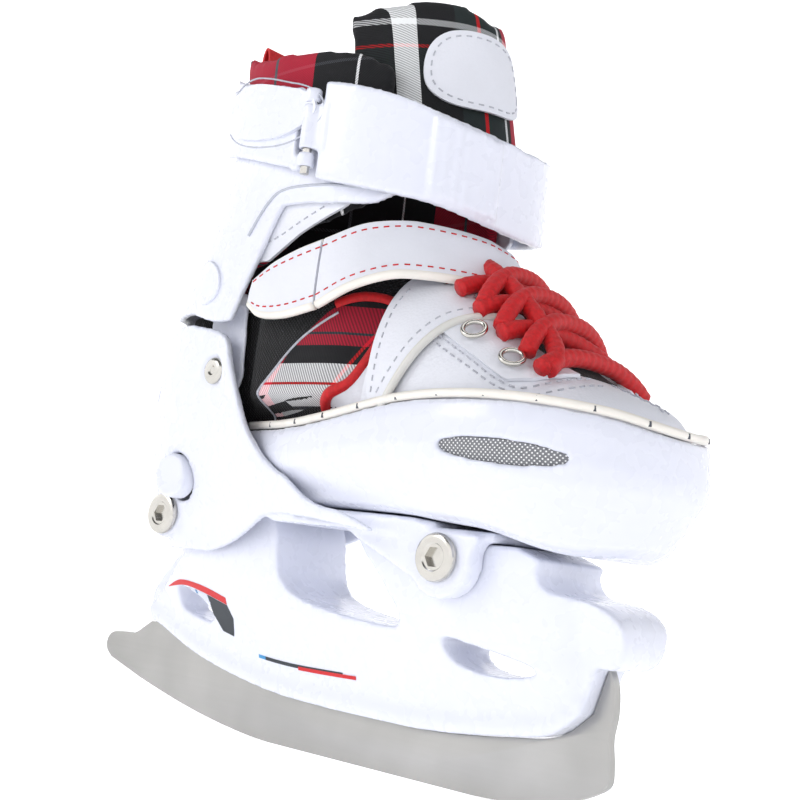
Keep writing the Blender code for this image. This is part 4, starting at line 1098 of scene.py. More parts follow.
def toe_skin(x, z, lift=0.0, side=-1):
    """The outer face of the toe shell's side, behind where it turns round the toes."""
    t = 0.5 + 0.5 * (TOE_CURVE_START - x) / (TOE_CURVE_START - TOE_REAR)
    if t < 0.5:
        low, high = 0.0, 0.5
        for _ in range(24):
            t = (low + high) / 2
            place = at_height(toe_column(t, -lift), z)
            if place[0] > x:
                low = t
            else:
                high = t
    px, py, pz = at_height(toe_column(t, -lift), z)
    return px, -side * py, pz


def quarter_skin(x, z, lift=0.0, side=-1):
    """The outer face of the soft boot's side."""
    floor = smooth(QUARTER_FLOOR, x)
    top = smooth(QUARTER_TOP, x)
    half, _ = quarter_point(x, (z - floor) / (top - floor), -lift)
    return x, side * half, z


def vamp_skin(x, angle, lift=0.0):
    """The outer face of the toe upper: angle runs from 0 at the outer side to 180 at the inner side."""
    return vamp_arch(x, -lift, angle, angle + 1, 2)[0]


def band_skin(angle, z, lift=0.0):
    """The outer face of the cuff strap, by degrees round from the front."""
    x, y = band_point(angle, -lift)
    return x, y, z


def mapped(points, skin, lift):
    return [skin(p[0], p[1], lift) for p in points]


# ---------------------------------------------------------------- pieces, one operator each

class SkatePiece(bpy.types.Operator):
    """A step that makes pieces of the skate"""
    bl_options = {"REGISTER", "UNDO"}

    def execute(self, context):
        self.make()
        return {"FINISHED"}


class SKATE_OT_blade(SkatePiece):
    """Grinds the blade's faces and edges"""
    bl_idname = "skate.blade"
    bl_label = "Blade"

    def make(self):
        tail = rounded([(-122, 17), (-125.6, 20), (-125.6, 24), (-122.5, 26.6), (-116, 27.4), (-109, 27.9),
                        (-103.5, 31), (-100, 33.2)], 6, closed=False)
        edge = [(x, blade_edge(x) - FIT) for x in spread(-95, 101, 60)]
        front = rounded([(101.7, 30.4), (105.2, 42.8), (106.0, 42.8), (107.8, 38), (108.3, 31), (107.5, 24),
                         (108.4, 17), (108.2, 11.5), (104, 8.3), (98, 5.6), (86, 2.2), (74,
                                 0.6)], 5, closed=False)
        sole = rounded([(62, 0), (40, 0), (6, 0), (-28, 0), (-52, 2), (-77, 6), (-102, 11.5)], 8,
                       closed=False)
        outline = [tuple(p[:2]) for p in tail] + edge + [tuple(p[:2]) for p in front] + [tuple(p[:2])
                for p in sole]
        outline = [(x, max(z, 0.0)) for x, z in outline]
        body = bevelled(prism(outline, -BLADE_THICKNESS / 2, BLADE_THICKNESS / 2), 0.35, 2)
        steel = ground_stainless("ground stainless steel", colours().steel)
        stand_for("blade_steel", body, steel, "blade")


class SKATE_OT_holder(SkatePiece):
    """Moulds the blade holder and prints its stripe"""
    bl_idname = "skate.holder"
    bl_label = "Blade holder"

    def make(self):
        bottom = [(x, blade_edge(x)) for x in spread(-95, 101, 44)]
        nose = rounded([(105, 43.6), (111, 43.5), (114.8, 46.5), (116, 52), (113.5, 57.5), (106, 61.2), (93,
                62.8),
                        (89, 65.5), (88, 69), (89, 71.4)], 4, closed=False)
        arch = rounded([(16, 74.2), (21, 68), (29, 60.5), (35.8, 52.2), (36.3, 48.2), (31.5, 46.5), (10,
                47.8),
                        (-8, 51), (-16, 56), (-18.7, 63), (-20, 71), (-22, 76)], 4, closed=False)
        heel = rounded([(-79.6, 61.4), (-86, 60.4), (-91, 55.5), (-97.5, 47.8), (-100, 42.5)], 4,
                       closed=False)
        flat = [tuple(p[:2]) for p in nose] + [(80, FRONT_TOWER_TOP)] + [tuple(p[:2]) for p in arch]
        flat += [(-25, REAR_TOWER_TOP), (-80, REAR_TOWER_TOP)] + [tuple(p[:2]) for p in heel]
        body = prism(bottom + flat, -1, 1)
        windows = (
            [(-77, 49), (-66, 46.5), (-59, 42.8), (-57.4, 38.4), (-64, 37.9), (-75.5, 40.6), (-77.6, 44)],
            [(53, 45.6), (64, 44.5), (84, 41.0), (85, 38.8), (75, 36.7), (63, 36.9), (55, 39.8)],
        )
        body = cut(body, *[prism([tuple(p[:2]) for p in rounded(w, 5)], -3, 3) for w in windows])
        bm = bmesh.new()
        bm.from_mesh(body)
        planes = [((0, 0, z * MM), (0, 0, 1)) for z in spread(18, 78, 41)]
        planes += [((x * MM, 0, 0), (1, 0, 0)) for x in spread(-96, 112, 53)]
        for place, direction in planes:
            everything = bm.verts[:] + bm.edges[:] + bm.faces[:]
            bmesh.ops.bisect_plane(bm, geom=everything, plane_co=place, plane_no=direction)
        for vert in bm.verts:
            x, z = vert.co.x / MM, vert.co.z / MM
            vert.co.y = math.copysign(self.half_width(x, z) * MM, vert.co.y)
        bm.to_mesh(body)
        bm.free()
        holes = [prism(disc_outline(place, BOLT_HOLE_RADIUS, 40), -30, 30) for place in (FRONT_BOLT,
                REAR_BOLT)]
        stand_for("holder_moulding", moulded(cut(body, *holes), 6, 0.35), white_moulding(), "blade_holder")
        self.print_stripe()

    def half_width(self, x, z):
        """The holder's half width with the soft hollows and ridges that stiffen it."""
        width = holder_half_width(x, z)
        above = z - blade_edge(min(x, 100))
        lip = 0.9 * math.exp(-((above - 3.0) / 2.2) ** 2)
        hollow = 1.3 * math.exp(-((x - 96) / 11) ** 2 - ((z - 47) / 5.5) ** 2)
        return width + lip - hollow

    def print_stripe(self):
        top = rounded([(-84, 47.9), (-74, 51), (-60, 50), (-47, 47)], 5, closed=False)
        low = rounded([(-47, 44.6), (-60, 47.6), (-72, 49.2), (-84, 47.7)], 5, closed=False)
        ribbons = (
            ("print_plaid_red", colours().red, [tuple(p[:2]) for p in top] + [tuple(p[:2]) for p in low]),
            ("print_plaid_black", colours().navy, [(-58, 47.0), (-47, 44.4), (-44.8, 40), (-46, 33.8), (-52,
                    35.0),
                                                  (-56.4, 40.5)]),
            ("print_plaid_white", "#D6DAE8", [(-70, 48.6), (-58.4, 47.1), (-56.6, 43.5), (-66, 47.4)]),
            ("print_line_blue", "#3F7FB0", [(-65.3, 48.2), (-64.5, 48.1), (-63.6, 46.9), (-64.6, 46.9)]),
            ("stripe_blue", "#3C93C9", self.stripe(-33, -29.5)),
            ("stripe_black", colours().navy, self.stripe(-29.4, 8)),
            ("stripe_red", colours().red, self.stripe(-13, 14, -0.55)),
        )
        for name, code, shape in ribbons:
            red_first = 0.22 if name in ("stripe_red", "print_line_blue") else 0.14
            made = panel(shape, self.skin, red_first, 0.12, 1.5)
            piece_of(name, made, screen_print("screen print " + code, code), "chassis")

    def skin(self, x, z, lift):
        return x, -(self.half_width(x, z) + lift), z

    def stripe(self, start, end, drop=0.0):
        """A pinstripe that follows the holder's lower edge."""
        places = spread(start, end, 9)
        upper = [(x, blade_edge(x) + 11.2 + 0.035 * (x + 33) + drop) for x in places]
        lower = [(x, z - 1.2) for x, z in reversed(upper)]
        return upper + lower


class SKATE_OT_bolts(SkatePiece):
    """Turns the bolts, barrel nuts and ankle rivets"""
    bl_idname = "skate.bolts"
    bl_label = "Bolts and rivets"

    def make(self):
        nickel = nickel_plate("nickel plate")
        for name, centre, seat in (("front", FRONT_BOLT, FRONT_BOLT_SEAT), ("rear", REAR_BOLT,
                REAR_BOLT_SEAT)):
            head = seat + FIT
            top = head + BOLT_HEAD_HEIGHT
            for node, side in ((name + "_bolt", -1), (name + "_barrel_nut", 1)):
                profile = [(side * p, r) for p, r in (
                    (0.5, BOLT_RADIUS), (head, BOLT_RADIUS), (head, BOLT_HEAD_RADIUS - 0.3),
                    (head + 0.4, BOLT_HEAD_RADIUS), (top - 1.1, BOLT_HEAD_RADIUS), (top - 0.45,
                            BOLT_HEAD_RADIUS - 0.3),
                    (top - 0.1, BOLT_HEAD_RADIUS - 0.9), (top, BOLT_HEAD_RADIUS - 1.6), (top, 4.3),
                    (top - 0.35, 3.9))]
                socket = turned(centre, [(side * (top - 2.1), 3.3), (side * (top + 2), 3.3)], 6)
                made = cut(turned(centre, profile, 72), socket)
                stand_for(node.replace("_", "-"), finished(made, angle=30), nickel, node)
        for node, side in (("ankle_rivet_outer", -1), ("ankle_rivet_inner", 1)):
            outer = RIVET_SEAT + FIT
            inner = ARM_INNER - FIT
            profile = [(side * p, r) for p, r in (
                (inner - 1.6, RIVET_HEAD_RADIUS - 0.5), (inner - 1.2, RIVET_HEAD_RADIUS), (inner,
                        RIVET_HEAD_RADIUS),
                (inner, RIVET_RADIUS), (outer, RIVET_RADIUS), (outer, RIVET_HEAD_RADIUS),
                (outer + 0.5, RIVET_HEAD_RADIUS), (outer + 1.1, RIVET_HEAD_RADIUS - 0.6),
                (outer + 1.4, RIVET_HEAD_RADIUS - 1.5), (outer + 1.4, 1.8), (outer + 0.8, 1.2))]
            stand_for(node.replace("_", "-"), finished(turned(ANKLE, profile, 48), angle=30), nickel, node)


class SKATE_OT_heel_shell(SkatePiece):
    """Moulds the heel shell with its floor, lugs and button housing"""
    bl_idname = "skate.heel_shell"
    bl_label = "Heel shell"

    def make(self):
        def rim(x):
            return smooth(HEEL_RIM, x)

        def edge(x):
            return smooth(HEEL_TOP, x)

        wall = u_wall(64, rim, edge, 0.0, HEEL_WALL, BAND_END, 24)
        inner = TOWER_HALF_WIDTH + FIT
        bosses = [prism(disc_outline(REAR_BOLT, 8.4, 40), *sorted((s * inner,
                s * REAR_BOLT_SEAT))) for s in (-1, 1)]
        rest = loft([[(x, -w, 77), (x, w, 77), (x, w, toe_bottom(x) - 0.6), (x, -w, toe_bottom(x) - 0.6)]
                     for x, w in ((-3, 27.2), (10, 28.0), (34, 26.0), (44, 24.8), (54, 23.6))])
        shell = joined(wall, floor_slab(), rest, lug(-1), lug(1), *bosses)
        bores = [prism(disc_outline(place, BOLT_HOLE_RADIUS, 32), -60, 60) for place in (FRONT_BOLT,
                REAR_BOLT)]
        bores += [prism(disc_outline(REAR_BOLT, BOLT_HEAD_RADIUS + 0.7, 40), *sorted((s * REAR_BOLT_SEAT,
                s * 60)))
                  for s in (-1, 1)]
        bores.append(prism(disc_outline(BUTTON, BUTTON_RADIUS + 0.5, 40), -60, -10))
        bores.append(prism(disc_outline(ANKLE, RIVET_RADIUS + FIT, 24), -60, 60))
        bores += [prism(disc_outline(ANKLE, RIVET_HEAD_RADIUS + 1, 32), *sorted((s * RIVET_SEAT, s * 60)))
                  for s in (-1, 1)]
        vent = rounded([(-89, 136), (-80.5, 128), (-83, 115), (-88, 121)], 5)
        bores.append(prism([tuple(p[:2]) for p in vent], -60, 60))
        made = moulded(cut(shell, *bores), 6, 0.4)
        stand_for("heel_moulding", made, white_moulding(), "heel_shell")


class SKATE_OT_toe_shell(SkatePiece):
    """Moulds the toe shell, its creases and side vents"""
    bl_idname = "skate.toe_shell"
    bl_label = "Toe shell"

    def make(self):
        places = spread(0.0, 1.0, 72)
        outer = [self.column(t, 0.0) for t in places]
        inner = [self.column(t, TOE_WALL) for t in places]
        inner = [[(max(x, TOE_REAR), y, z) for x, y, z in column] for column in inner]
        shell = u_shell(outer, inner, floor=True)
        slots = [prism(slot_outline(), *sorted((s * 30, s * 60))) for s in (-1, 1)]
        stand_for("toe_moulding", moulded(cut(shell, *slots), 5, 0.4), white_moulding(), "toe_shell")
        weave = knitted_mesh("woven vent mesh", "#C4C6CC")
        for node in ("vent_mesh_outer", "vent_mesh_inner"):
            sign = -1 if node.endswith("outer") else 1
            outline = [(x, z) for x, z in slot_outline()]
            made = panel(outline, lambda x, z, lift, s=sign: toe_skin(x, z, lift, s), -TOE_WALL * 0.6, 0.7,
                         1.0)
            lay_cloth(made, lambda p: (p.x, p.z))
            stand_for(node.replace("_", "-"), made, weave, node)

    def column(self, t, inset):
        """The CAD column at finer steps, with a rounded chine and a soft crease above the vents."""
        rows = ((0.60, 0.0), (0.72, 0.06), (0.88, 0.32), (0.97, 0.48), (1.0, 0.62), (0.985, 0.86), (0.955,
                1.0))
        found = []
        steps = 5
        for a, b in zip(rows, rows[1:]):
            for j in range(steps):
                found.append((a[0] + (b[0] - a[0]) * j / steps, a[1] + (b[1] - a[1]) * j / steps))
        found.append(rows[-1])
        column = []
        for scale, share in found:
            x, y = toe_plan(t, scale, inset)
            low = toe_bottom(x) + inset
            high = smooth(TOE_TOPS, x)
            column.append((x, y, low + (high - low) * share))
        return column


class SKATE_OT_size_lock(SkatePiece):
    """Finishes the push button, its spring, the rack and the footboard"""
    bl_idname = "skate.size_lock"
    bl_label = "Size lock"

    def make(self):
        back = -BUTTON_FACE + BUTTON_HEAD_DEPTH
        cap = ((-BUTTON_FACE + 0.25, BUTTON_RADIUS - 2.2), (-BUTTON_FACE, BUTTON_RADIUS - 1.2),
               (-BUTTON_FACE + 0.25, BUTTON_RADIUS - 0.4), (-BUTTON_FACE + 1.0, BUTTON_RADIUS),
               (back, BUTTON_RADIUS), (back, BUTTON_STEM_RADIUS), (BUTTON_STEM_TIP, BUTTON_STEM_RADIUS))
        stand_for("push_button", finished(turned(BUTTON, cap, 72), angle=60), white_moulding(), "size_button")
        steel = ground_stainless("drawn spring wire", "#8C8C8A")
        finish_nodes(steel, "button_spring")
        finish_nodes(grey_moulding_and_groove_shade(), "size_rack", "footboard")


def finish_nodes(material, *names):
    """Gives CAD nodes that keep their shape their real material."""
    for name in names:
        node = NODES[name]
        node.data.materials.clear()
        node.data.materials.append(material)


class SKATE_OT_cuff(SkatePiece):
    """Moulds the cuff with its raised pads"""
    bl_idname = "skate.cuff"
    bl_label = "Cuff"

    def make(self):
        wall = u_wall(56, cuff_low, cuff_high, 0.0, CUFF_WALL, CUFF_FRONT, 22)
        pieces = []
        for side in (-1, 1):
            around = [(ANKLE[0] + 9 * math.cos(a), ANKLE[1] + 9 * math.sin(a))
                      for a in spread(math.radians(-5), math.radians(-175), 15)]
            pieces.append(prism(around + [(-53, 150), (-35, 150)], *sorted((side * ARM_INNER,
                    side * ARM_OUTER))))
            foot = [(-53, 147), (-35, 147), (-35, 152), (-53, 152)]
            pieces.append(prism(foot, *sorted((side * ARM_INNER, side * 37.5))))
        bore = prism(disc_outline(ANKLE, RIVET_RADIUS + FIT, 24), -60, 60)
        made = moulded(cut(joined(wall, *pieces), bore), 6, 0.4)
        stand_for("cuff_moulding", made, white_moulding(), "cuff")
        oval = rounded([(-52, 147.5), (-44.5, 148.5), (-41, 153), (-43, 159), (-50, 163), (-57, 160.5),
                        (-58.5, 154)], 6)
        for side, name in ((-1, "cuff_pad_outer"), (1, "cuff_pad_inner")):
            raised = panel([tuple(p[:2]) for p in oval], lambda x, z, lift, s=side: heel_skin(x, z, lift,
                    s), 1.0, 1.3, 2)
            piece_of(name, finished(raised, ("BEVEL", {"width": 0.6 * MM, "segments": 3}), angle=180),
                     white_moulding(), "cuff")
        # Painted shade: a thin grey tube laid along the groove line of the white cuff stands in for the shade
        # in the groove.
        line = rounded([(-28, 169.5), (-20, 179.5), (-12, 183.8), (6, 184), (18, 182.8), (25, 183)], 8,
                       closed=False)
        for side, name in ((-1, "cuff_groove_shade_outer"), (1, "cuff_groove_shade_inner")):
            path = [heel_skin(p[0], p[1], -0.1, side) for p in line]
            piece_of(name, swept(path, 0.5, 8), grey_moulding_and_groove_shade(), "cuff")


class SKATE_OT_cuff_strap(SkatePiece):
    """Moulds the cuff strap with its ribs, the anchor pad and the pin"""
    bl_idname = "skate.cuff_strap"
    bl_label = "Cuff strap"

    def make(self):
        low, high = smooth(BAND_HEIGHTS, PIN_X)
        pin = (PIN_X, PIN_Y)
        step = 4.0
        angle = band_angle(PIN_X)
        strap = joined(band(spread(angle - step, BUCKLE_END, 90), 0.0, BAND_THICKNESS),
                       knuckle(pin, 7, low + KNUCKLE_HEIGHT + FIT, high - KNUCKLE_HEIGHT - FIT))
        bore = upright(pin, PIN_RADIUS + FIT, low - 9, high + 9, 32)
        ribs = []
        for k in range(7):
            middle = 39.0 - 4.1 * k
            ribs.append(band(spread(middle - 1.2, middle + 1.2, 3), -1.8, 2.8, 1.6))
        made = moulded(cut(joined(strap, *ribs), bore), 4, 0.45)
        stand_for("cuff_strap_moulding", made, white_moulding(), "cuff_strap")
        anchor = joined(band(spread(angle + step, ANCHOR_BACK, 40), 0.0, BAND_THICKNESS, 2.0),
                        knuckle(pin, -7, low + 2.5, low + KNUCKLE_HEIGHT),
                        knuckle(pin, -7, high - KNUCKLE_HEIGHT, high - 2.5))
        made = moulded(cut(anchor, bore), 5, 0.45)
        stand_for("anchor_moulding", made, white_moulding(), "strap_anchor")
        made = bevelled(upright(pin, PIN_RADIUS, low + 0.5, high - 3, 40), 0.3)
        stand_for("strap-pin", made, nickel_plate("nickel plate"), "strap_pin")
        oval = rounded([(82, 206), (92, 200.5), (108, 202.5), (121, 208), (126, 214), (122, 220), (108, 222),
                        (92, 217.5), (83, 212.5)], 6)
        raised = panel([tuple(p[:2]) for p in oval], band_skin, 1.3, 1.6, 2.0)
        made = finished(raised, ("BEVEL", {"width": 0.8 * MM, "segments": 3}), angle=180)
        piece_of("anchor_pad", made, white_moulding(), "cuff")
        # Painted shade: a thin grey tube round the anchor pad stands in for the shade in the groove that
        # outlines it.
        line = rounded([(p[0] + (p[0] - 104) * 0.10, p[1] + (p[1] - 211) * 0.24, 0) for p in oval[::3]], 4)
        path = [band_skin(p[0], p[1], -0.05) for p in line + line[:1]]
        piece_of("anchor_groove_shade", swept(path, 0.3, 8), grey_moulding_and_groove_shade(), "cuff")


class SKATE_OT_buckle(SkatePiece):
    """Finishes the buckle's base, lever and pin on the inner side"""
    bl_idname = "skate.buckle"
    bl_label = "Buckle"

    def make(self):
        for node, material in (("buckle_base", white_moulding()), ("buckle_lever", grey_moulding_and_groove_shade()),
                               ("buckle_pin", nickel_plate("nickel plate"))):
            mesh = NODES[node].data.copy()
            bm = bmesh.new()
            bm.from_mesh(mesh)
            bmesh.ops.remove_doubles(bm, verts=bm.verts, dist=1e-6)
            bm.to_mesh(mesh)
            bm.free()
            stand_for(node.replace("_", "-"), moulded(mesh, 3, 0.5, 0.0006), material, node)



def swollen(mesh, voxel, cap, pressure=4.0):
    """Foam under a sewn cover: the closed mesh swells by cloth simulation, at most by the cap in mm."""
    mesh = finished(mesh, ("REMESH", {"mode": "VOXEL", "voxel_size": voxel * MM}),
                    ("SMOOTH", {"factor": 0.5, "iterations": 4}), angle=180)
    rest = [vert.co.copy() for vert in mesh.vertices]
    holder = bpy.data.objects.new("pad", mesh)
    scene = bpy.context.scene
    scene.collection.objects.link(holder)
    cloth = holder.modifiers.new("cloth", "CLOTH")
    cloth.settings.use_pressure = True
    cloth.settings.uniform_pressure_force = pressure
    cloth.settings.effector_weights.gravity = 0
    cloth.settings.quality = 5
    for frame_number in range(1, 17):
        scene.frame_set(frame_number)
    seen = holder.evaluated_get(bpy.context.evaluated_depsgraph_get())
    made = bpy.data.meshes.new_from_object(seen)
    bpy.data.objects.remove(holder)
    scene.frame_set(1)
    for vert, start in zip(made.vertices, rest):
        move = vert.co - start
        if move.length > cap * MM:
            vert.co = start + move.normalized() * cap * MM
    return finished(made, ("SMOOTH", {"factor": 0.4, "iterations": 2}), ("SUBSURF", {"levels": 1}), angle=180)


def angle_round(point):
    """Degrees round the leg's centre line from the front: positive on the outer side."""
    return math.degrees(math.atan2(-point.y, point.x - BAND_CENTRE))


class SKATE_OT_boot(SkatePiece):
    """Sews the soft boot's quarter with its mesh, plaid panel, white side panel, red trim, seam cord and
    footbed
    """
    bl_idname = "skate.boot"
    bl_label = "Boot quarter"

    def make(self):
        def columns(inset):
            found = []
            for t in spread(0.0, 1.0, 64):
                column = []
                for share in spread(0.0, 1.0, 26):
                    if t < 0.4:
                        half, z = quarter_point(QUARTER_BACK_CENTRE, share, inset)
                        back = smooth(HEEL_STATIONS, z)[0] + HEEL_WALL + SLIDE + inset
                        angle = t / 0.4 * math.pi / 2
                        column.append((QUARTER_BACK_CENTRE - (QUARTER_BACK_CENTRE - back)
                                       * math.cos(angle) ** 0.9,
                                       -half * math.sin(angle) ** 0.92, z))
                    else:
                        x = QUARTER_BACK_CENTRE + (QUARTER_FRONT - QUARTER_BACK_CENTRE) * (t - 0.4) / 0.6
                        half, z = quarter_point(x, share, inset)
                        column.append((x, -half, z))
                found.append(column)
            return found

        quarter = finished(u_shell(columns(0.0), columns(QUARTER_WALL), floor=True), angle=60)
        lay_cloth(quarter, lambda p: (p.x, p.z))
        made = stand_for("quarter_mesh", quarter, knitted_mesh("spacer mesh", colours().black),
                         "liner_quarter")
        red = braided_polyester("woven polyester, red", colours().red)
        plaid_edge = [(-21, 108), (-19, 116), (-12, 123), (-1, 134), (8, 143), (16, 149), (25, 148.5),
                      (27.5, 142),
                      (26, 134), (23.5, 127.5), (19.5, 120), (11, 114), (8, 108)]
        for side, word in ((-1, "outer"), (1, "inner")):
            def skin(x, z, lift, s=side):
                return quarter_skin(x, z, lift, s)
            self.layer("plaid_panel_" + word, plaid_edge, skin, 0.35, plaid_side(), cloth=True)
            white = [(8, 106.5), (11, 113), (20, 119), (24.5, 127.5), (27, 134), (28.5, 142), (44, 142),
                     (50, 120),
                     (50, 106.5)]
            self.layer("white_quarter_" + word, white, skin, 0.35, white_leather())
            trim = rounded([(8.5, 110.5), (10.5, 113.5), (14, 116.5), (20, 120), (24, 126.5), (27, 134),
                            (28.5, 142),
                            (26, 147.6), (18, 148.8), (10, 145.8)], 10, closed=False)
            path = [skin(p[0], p[1], -0.5) for p in trim]
            piece_of("red_trim_" + word, swept(path, 1.9, 14), red, "chassis")
            seam = rounded([(-22, 108), (-19, 116), (-12, 123), (-1, 134), (12, 143)], 10, closed=False)
            path = [skin(p[0], p[1], 0.35) for p in seam]
            grey = braided_polyester("edge cord, light grey", "#B8BAC4")
            piece_of("seam_cord_" + word, swept(path, 0.45, 8), grey, "chassis")
        self.insole()

    def layer(self, name, outline, skin, lift, material, cloth=False):
        made = panel([tuple(p[:2]) for p in outline], skin, lift, 0.3, 2.0)
        if cloth:
            lay_cloth(made, lambda p: (p.x * 0.86 - p.z * 0.5, p.z))
        return piece_of(name, made, material, "chassis")

    def insole(self):
        rings = []
        for x in spread(-84, 44, 40):
            half = smooth(INSOLE_HALF_WIDTHS, x)
            z = smooth(QUARTER_FLOOR, x) + QUARTER_WALL + 3 * FIT
            top = z + INSOLE_THICKNESS
            rings.append([(x, -half, z), (x, half, z), (x, half * 0.98, top), (x, half * 0.5, top - 0.5),
                          (x, -half * 0.5, top - 0.5), (x, -half * 0.98, top)])
        mesh = finished(loft(rings), ("BEVEL", {"width": 0.4 * MM, "segments": 2, "limit_method": "ANGLE"}))
        lay_cloth(mesh, lambda p: (p.x, p.y))
        made = stand_for("footbed", mesh, knitted_mesh("knit-covered foam", "#4A4C52"), "insole")


def plaid_side():
    """The printed plaid of the side panel: dark, crimson and white fields in slanting stripes."""
    black, crimson = linear(colours().black), linear(colours().crimson)
    white, thin, grey = linear("#F6F6F8"), linear(colours().red), linear("#3B3E46")
    warp = ((0.0, black), (0.22, thin), (0.24, black), (0.34, white), (0.42, grey), (0.44, white), (0.52,
            thin),
            (0.54, white), (0.62, crimson), (0.84, black))
    weft = ((0.0, crimson), (0.08, grey), (0.1, crimson), (0.30, black), (0.44, white), (0.54, grey), (0.56,
            white),
            (0.70, thin), (0.72, white), (0.86, black))
    return woven_plaid("printed plaid", warp, weft, (60.0, 44.0), 0.9)


def plaid_tongue():
    """The tongue's plaid: a black ground with a white window check at one side and crimson at the other."""
    black, crimson = linear(colours().black), linear(colours().crimson)
    white, thin, green = linear("#EDEFF0"), linear(colours().red), linear("#1E2A2A")
    warp = ((0.0, green), (0.10, thin), (0.12, green), (0.24, white), (0.26, black), (0.30, crimson), (0.48,
            black),
            (0.80, white), (0.86, black))
    weft = ((0.0, black), (0.30, green), (0.50, thin), (0.52, black), (0.66, white), (0.70, black), (0.84,
            thin),
            (0.86, black))
    return woven_plaid("woven plaid, tongue", warp, weft, (62.0, 52.0), 0.9, (0.1, 0.55))


class SKATE_OT_upper(SkatePiece):
    """Sews the toe upper with its facings, finger overlays and stitching"""
    bl_idname = "skate.upper"
    bl_label = "Toe upper"

    def make(self):
        leather = white_leather()
        stations = spread(VAMP_REAR, 112, 50) + [114.0, 116.0, 117.4, 118.2]
        rings = [vamp_arch(x, 0.0, count=61) + vamp_arch(x, VAMP_WALL, count=61)[::-1] for x in stations]
        vamp = finished(loft(rings), angle=50)
        made = stand_for("toe_vamp", vamp, leather, "toe_upper")
        dark = knitted_mesh("spacer mesh", colours().black)
        throat = [(46, 62), (60, 66), (78, 68), (92, 72), (95, 90), (92, 108), (78, 112), (60, 114), (46,
                118)]
        made = panel(throat, vamp_skin, 0.3, 0.25, 3.0)
        lay_cloth(made, lambda p: (p.x, p.y))
        piece_of("throat_mesh", made, dark, "toe_section")
        red = braided_polyester("woven polyester, red", colours().red)
        for word, flip in (("outer", False), ("inner", True)):
            def skin(x, angle, lift, f=flip):
                return vamp_skin(x, 180 - angle if f else angle, lift)
            facing = [(51, 40), (66, 36), (82, 33), (88, 42), (92, 56), (94, 70), (88, 70.5), (76, 68), (62,
                    66), (51, 64)]
            made = panel(facing, skin, 1.35, 1.1, 2.0)
            stand_for("facing_" + word, made, leather, "eyestay_" + word)
            lining = [(33, 50), (35, 70), (38, 79), (70, 79), (71, 74), (63, 58), (56, 44), (46, 44)]
            made = panel(lining, skin, 1.25, 0.9, 2.0)
            piece_of("red_lining_" + word, made, red, "toe_section")
            fingers = rounded([(41, 7), (45, 16), (51, 30), (58, 46), (66, 63), (70.5, 74), (68, 79), (62,
                    71), (56.5, 64),
                               (55.5, 70), (54.5, 79), (50.5, 80), (47.5, 69), (44.5, 62), (43, 70), (40.5,
                                       78),
                               (36.5, 76), (34.5, 66), (32.5, 56), (31.5, 40), (32, 22), (34.5, 9)], 5)
            made = panel([tuple(p[:2]) for p in fingers], skin, 2.1, 0.8, 2.0)
            overlay = finished(made, ("BEVEL", {"width": 0.3 * MM, "segments": 2, "limit_method": "ANGLE"}),
                               angle=60)
            piece_of("finger_overlay_" + word, overlay, leather, "toe_section")
            rim = rounded([(41.5, 6), (46, 16), (52, 30), (59, 46), (66.5, 62), (71, 74)], 10, closed=False)
            path = [skin(p[0], p[1], 1.9) for p in rim]
            clear = soft_vinyl("soft vinyl, clear grey", "#DAD9D4")
            piece_of("overlay_rim_" + word, swept(path, 1.3, 12), clear, "toe_section")
            self.sewing(word, skin)
        nose = [vamp_skin(x, 90, 0.2) for x in spread(97, 117, 24)]
        for k, offset in enumerate((-1.5, 1.5)):
            path = [(x, offset, z) for x, y, z in nose]
            thread = braided_polyester("sewing thread, light grey", "#C2C4CE")
            piece_of(f"toe_stitching_{k + 1}", stitches(path, 0.28), thread, "toe_section")

    def sewing(self, word, skin):
        thread = braided_polyester("sewing thread, light grey", "#C2C4CE")
        rows = (
            ([(52, 37.5), (66, 33.5), (80, 30.5), (88, 33), (94, 52), (97, 74)], 1.0, 0.3),
            ([(52, 34), (66, 30), (81, 27), (90, 30), (97, 50), (100, 74)], 0.2, 0.28),
            ([(36, 10), (35, 22), (34.5, 40), (36, 55)], 2.15, 0.28),
            ([(38.5, 10), (42, 18), (47.5, 31), (54.5, 47), (61, 60)], 2.15, 0.28),
        )
        for k, (line, lift, radius) in enumerate(rows):
            path = [skin(p[0], p[1], lift) for p in rounded(line, 10, closed=False)]
            piece_of(f"stitching_{word}_{k + 1}", stitches(path, radius), thread, "toe_section")


class SKATE_OT_binding(SkatePiece):
    """Runs the binding round the toe shell's edge, with painted shade in its notches"""
    bl_idname = "skate.binding"
    bl_label = "Toe binding"

    def make(self):
        def edge(t, lift=0.0):
            x, y = toe_plan(abs(t), 0.955, TOE_WALL / 2)
            z = smooth(TOE_TOPS, x) + FIT + PIPING_RADIUS + lift
            return x, y if t < 0 else -y, z

        points = [edge(t) for t in spread(-0.97, 0.97, 221)]
        vinyl = soft_vinyl("soft vinyl, cream", colours().binding)
        stand_for("toe_binding", swept(points, PIPING_RADIUS + 0.1, 14), vinyl, "toe_piping")
        # Painted shade: short dark grey strokes on the binding's outer side, every 16 mm, stand in for the
        # shade in its notches.
        notch_shades = []
        for place in even(points, 16.0)[1:-1]:
            out = Vector((place.x - 20, place.y, 0)).normalized()
            start = place + out * (PIPING_RADIUS - 0.15) + Vector((0, 0, -0.9))
            notch_shades.append(swept([start, start + Vector((0, 0, 0.7)), start + Vector((0, 0,
                    1.5)) - out * 0.15], 0.5, 8))
        thread = braided_polyester("painted notch shade, dark grey", "#50535C")
        piece_of("binding_notch_shade", merged(notch_shades), thread, "toe_section")


def braid(radius):
    """Scales a cord's radius so that its strands show."""
    turns = math.tau / (5.2 * radius / 2.1)

    def shape(travelled, angle):
        return 1.0 + 0.055 * math.cos(5 * angle + turns * travelled) * math.cos(5 * angle - turns * travelled)

    return shape


